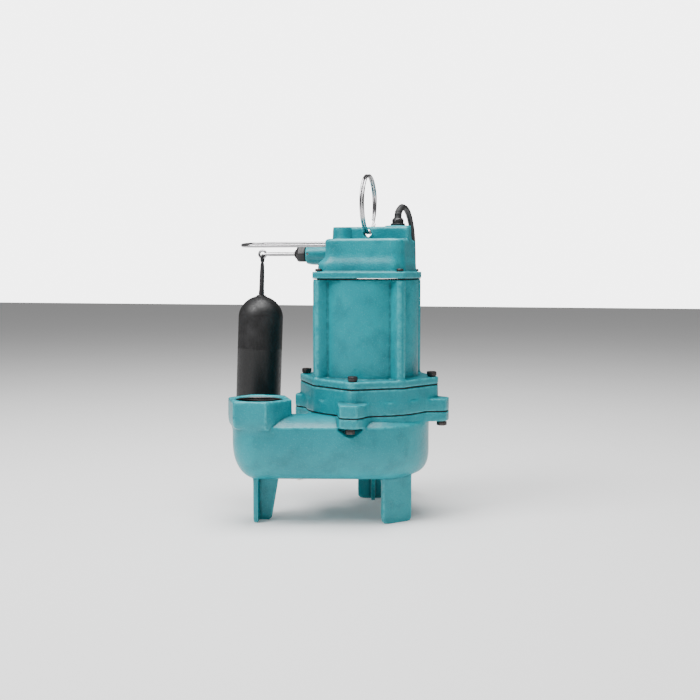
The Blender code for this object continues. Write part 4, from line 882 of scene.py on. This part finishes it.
def makeGland():
    gland = {"flange": 0.009, "thread": 0.0058, "bossTop": 0.361, "shoulder": 0.3437, "nut": 0.0070, "top": 0.3705,
             "cord": 0.0039}
    at = fromShaft(0.034, 0.016, 0)
    boss, cordHole = gland["bossTop"] + 0.0003, gland["cord"] + 0.0001
    flange = turnUp("glandFlange", [
        (cordHole, gland["shoulder"] - 0.005), (gland["thread"], gland["shoulder"] - 0.005), (gland["thread"], boss),
        (gland["flange"] - 0.0004, boss), (gland["flange"], boss + 0.0004), (gland["flange"], boss + 0.0022),
        (gland["flange"] - 0.0007, boss + 0.0027), (cordHole, boss + 0.0027)], 40, Matrix.Translation(at), closed=True)
    smoothShade(flange, 35)
    place(flange, "pump", "black_plastic", "cord_gland", look=looks["plastic"])
    base, top = boss + 0.003, gland["top"]
    nut = turnUp("nut", [(cordHole, base), (gland["nut"], base), (gland["nut"] + 0.0003, base + 0.0004),
                         (gland["nut"] + 0.0003, top - 0.0024), (gland["nut"] - 0.0006, top - 0.0010),
                         (0.0056, top), (0.0049, top - 0.0004), (cordHole, top - 0.003)], 48,
                 Matrix.Translation(at), closed=True)
    openEdit(nut, "FACE", lambda middle, normal: abs(normal.z) < 0.1 and middle.z > base + 0.0005
             and (middle.xy - at.xy).length > gland["nut"] - 0.0002
             and round(((middle.xy - at.xy).angle_signed(Vector((1, 0))) + pi) / (2 * pi / 48)) % 4 == 0)
    bpy.ops.mesh.inset(thickness=0.0001, depth=-0.0004)
    closeEdit()
    smoothShade(nut, 35)
    nut.name = nut.data.name = "glandNut"
    place(nut, "pump", "black_plastic", "cord_nut", look=looks["plastic"])


def makeRelief(route):
    # A ribbed rubber sleeve that tapers along the cord's first bend
    relief = {"length": 0.026, "root": 0.0050, "tip": 0.0041, "step": 0.0006, "rib": 0.00028}
    line = smoothRoute([route[0] - Vector((0, 0, 0.002)), *route[:8]], relief["step"])
    count = int(relief["length"] / relief["step"])
    points = line[:count]
    widths = []
    for i in range(count):
        share = i / (count - 1)
        ribbed = relief["rib"] * (1 if (i // 3) % 2 == 0 and 0.12 < share < 0.9 else 0)
        widths.append((relief["root"] + (relief["tip"] - relief["root"]) * share - ribbed) / relief["root"])
    piece = wirePiece("cordRelief", points, relief["root"], widths=widths)
    place(piece, "pump", "black_rubber", look=looks["rubber"])


def makePlug():
    plug = {"radius": 0.0125, "face": 0.202, "length": 0.034}
    at = fromVolute(-0.10105, plug["face"], plug["radius"])
    turned = Matrix.Translation(at) @ Matrix.Rotation(voluteTurn, 4, "Z") @ Matrix.Rotation(-pi / 2, 4, "X")
    r = plug["radius"]
    profile = [(r - 0.0012, 0.0), (r, 0.0009), (r, 0.0045), (r - 0.0005, 0.005), (r - 0.0005, 0.0062), (r, 0.0067),
               (r, 0.0155), (r - 0.0010, 0.018), (0.0100, 0.0235), (0.0096, 0.0245)]
    for i in range(4):
        height = 0.0252 + i * 0.0023
        radius = 0.0090 - i * 0.0007
        profile += [(radius - 0.0008, height), (radius - 0.0008, height + 0.0007), (radius, height + 0.0010),
                    (radius - 0.0002, height + 0.0021)]
    body = turnUp("plugGrip", profile, 56, turned)
    smoothShade(body, 35)
    place(body, "pump", "black_rubber", "plug_body", look=looks["rubber"])
    return body


makeGland()
makeRelief(cordLine)
plugGrip = makePlug()


def declareCord():
    length = sum((b - a).length for a, b in zip(cordLine, cordLine[1:]))


declareCord()


# The inner pieces keep their CAD shape and get their finishes

def dressNodes():
    finishes = {
        "enamel": "enamel", "bright_steel": "brightSteel", "dark_steel": "darkSteel", "black_rubber": "rubber",
        "black_plastic": "plastic", "gasket": "gasket", "copper": "copper", "lamination": "lamination",
        "bronze": "bronze", "ceramic": "ceramic", "brass": "brass",
    }
    slotOf = {part["node"]: part["material_slot"] for part in frame["record"]["subparts"]}
    for name, node in nodes.items():
        if not node.hide_render:
            for i in range(len(node.material_slots)):
                node.material_slots[i].material = looks[finishes[slotOf[name]]]
    print("inner pieces dressed")


dressNodes()


def stage():
    floor = startPiece("floor", "plane", size=14, location=(0, 0, 0))
    floor.data.materials.append(looks["floor"])
    world = bpy.data.worlds.new("studio")
    bpy.context.scene.world = world
    world.use_nodes = True
    tree = world.node_tree
    soft = tree.nodes["Background"]
    soft.inputs["Color"].default_value = (1.0, 1.0, 1.0, 1)
    soft.inputs["Strength"].default_value = 0.16
    seen = tree.nodes.new("ShaderNodeBackground")
    seen.inputs["Color"].default_value = (1.0, 1.0, 1.0, 1)
    seen.inputs["Strength"].default_value = 5.0
    ray, either = tree.nodes.new("ShaderNodeLightPath"), tree.nodes.new("ShaderNodeMixShader")
    tree.links.new(ray.outputs["Is Camera Ray"], either.inputs["Fac"])
    tree.links.new(soft.outputs["Background"], either.inputs[1])
    tree.links.new(seen.outputs["Background"], either.inputs[2])
    tree.links.new(either.outputs["Shader"], tree.nodes["World Output"].inputs["Surface"])
    lamps = {
        "key": ((-1.1, -0.7, 1.6), 0.8, 36), "top": ((0.0, -0.15, 1.8), 1.0, 52), "fill": ((1.4, -1.0, 0.7), 1.2, 2),
    }
    for name, (at, size, power) in lamps.items():
        lamp = bpy.data.lights.new(name, "AREA")
        lamp.size, lamp.energy = size, power
        holder = bpy.data.objects.new(name, lamp)
        bpy.context.scene.collection.objects.link(holder)
        holder.location = fromVolute(*at)
        holder.rotation_euler = (fromShaft(0, 0, 0.2) - holder.location).to_track_quat("-Z", "Y").to_euler()
    print("stage lit")


stage()
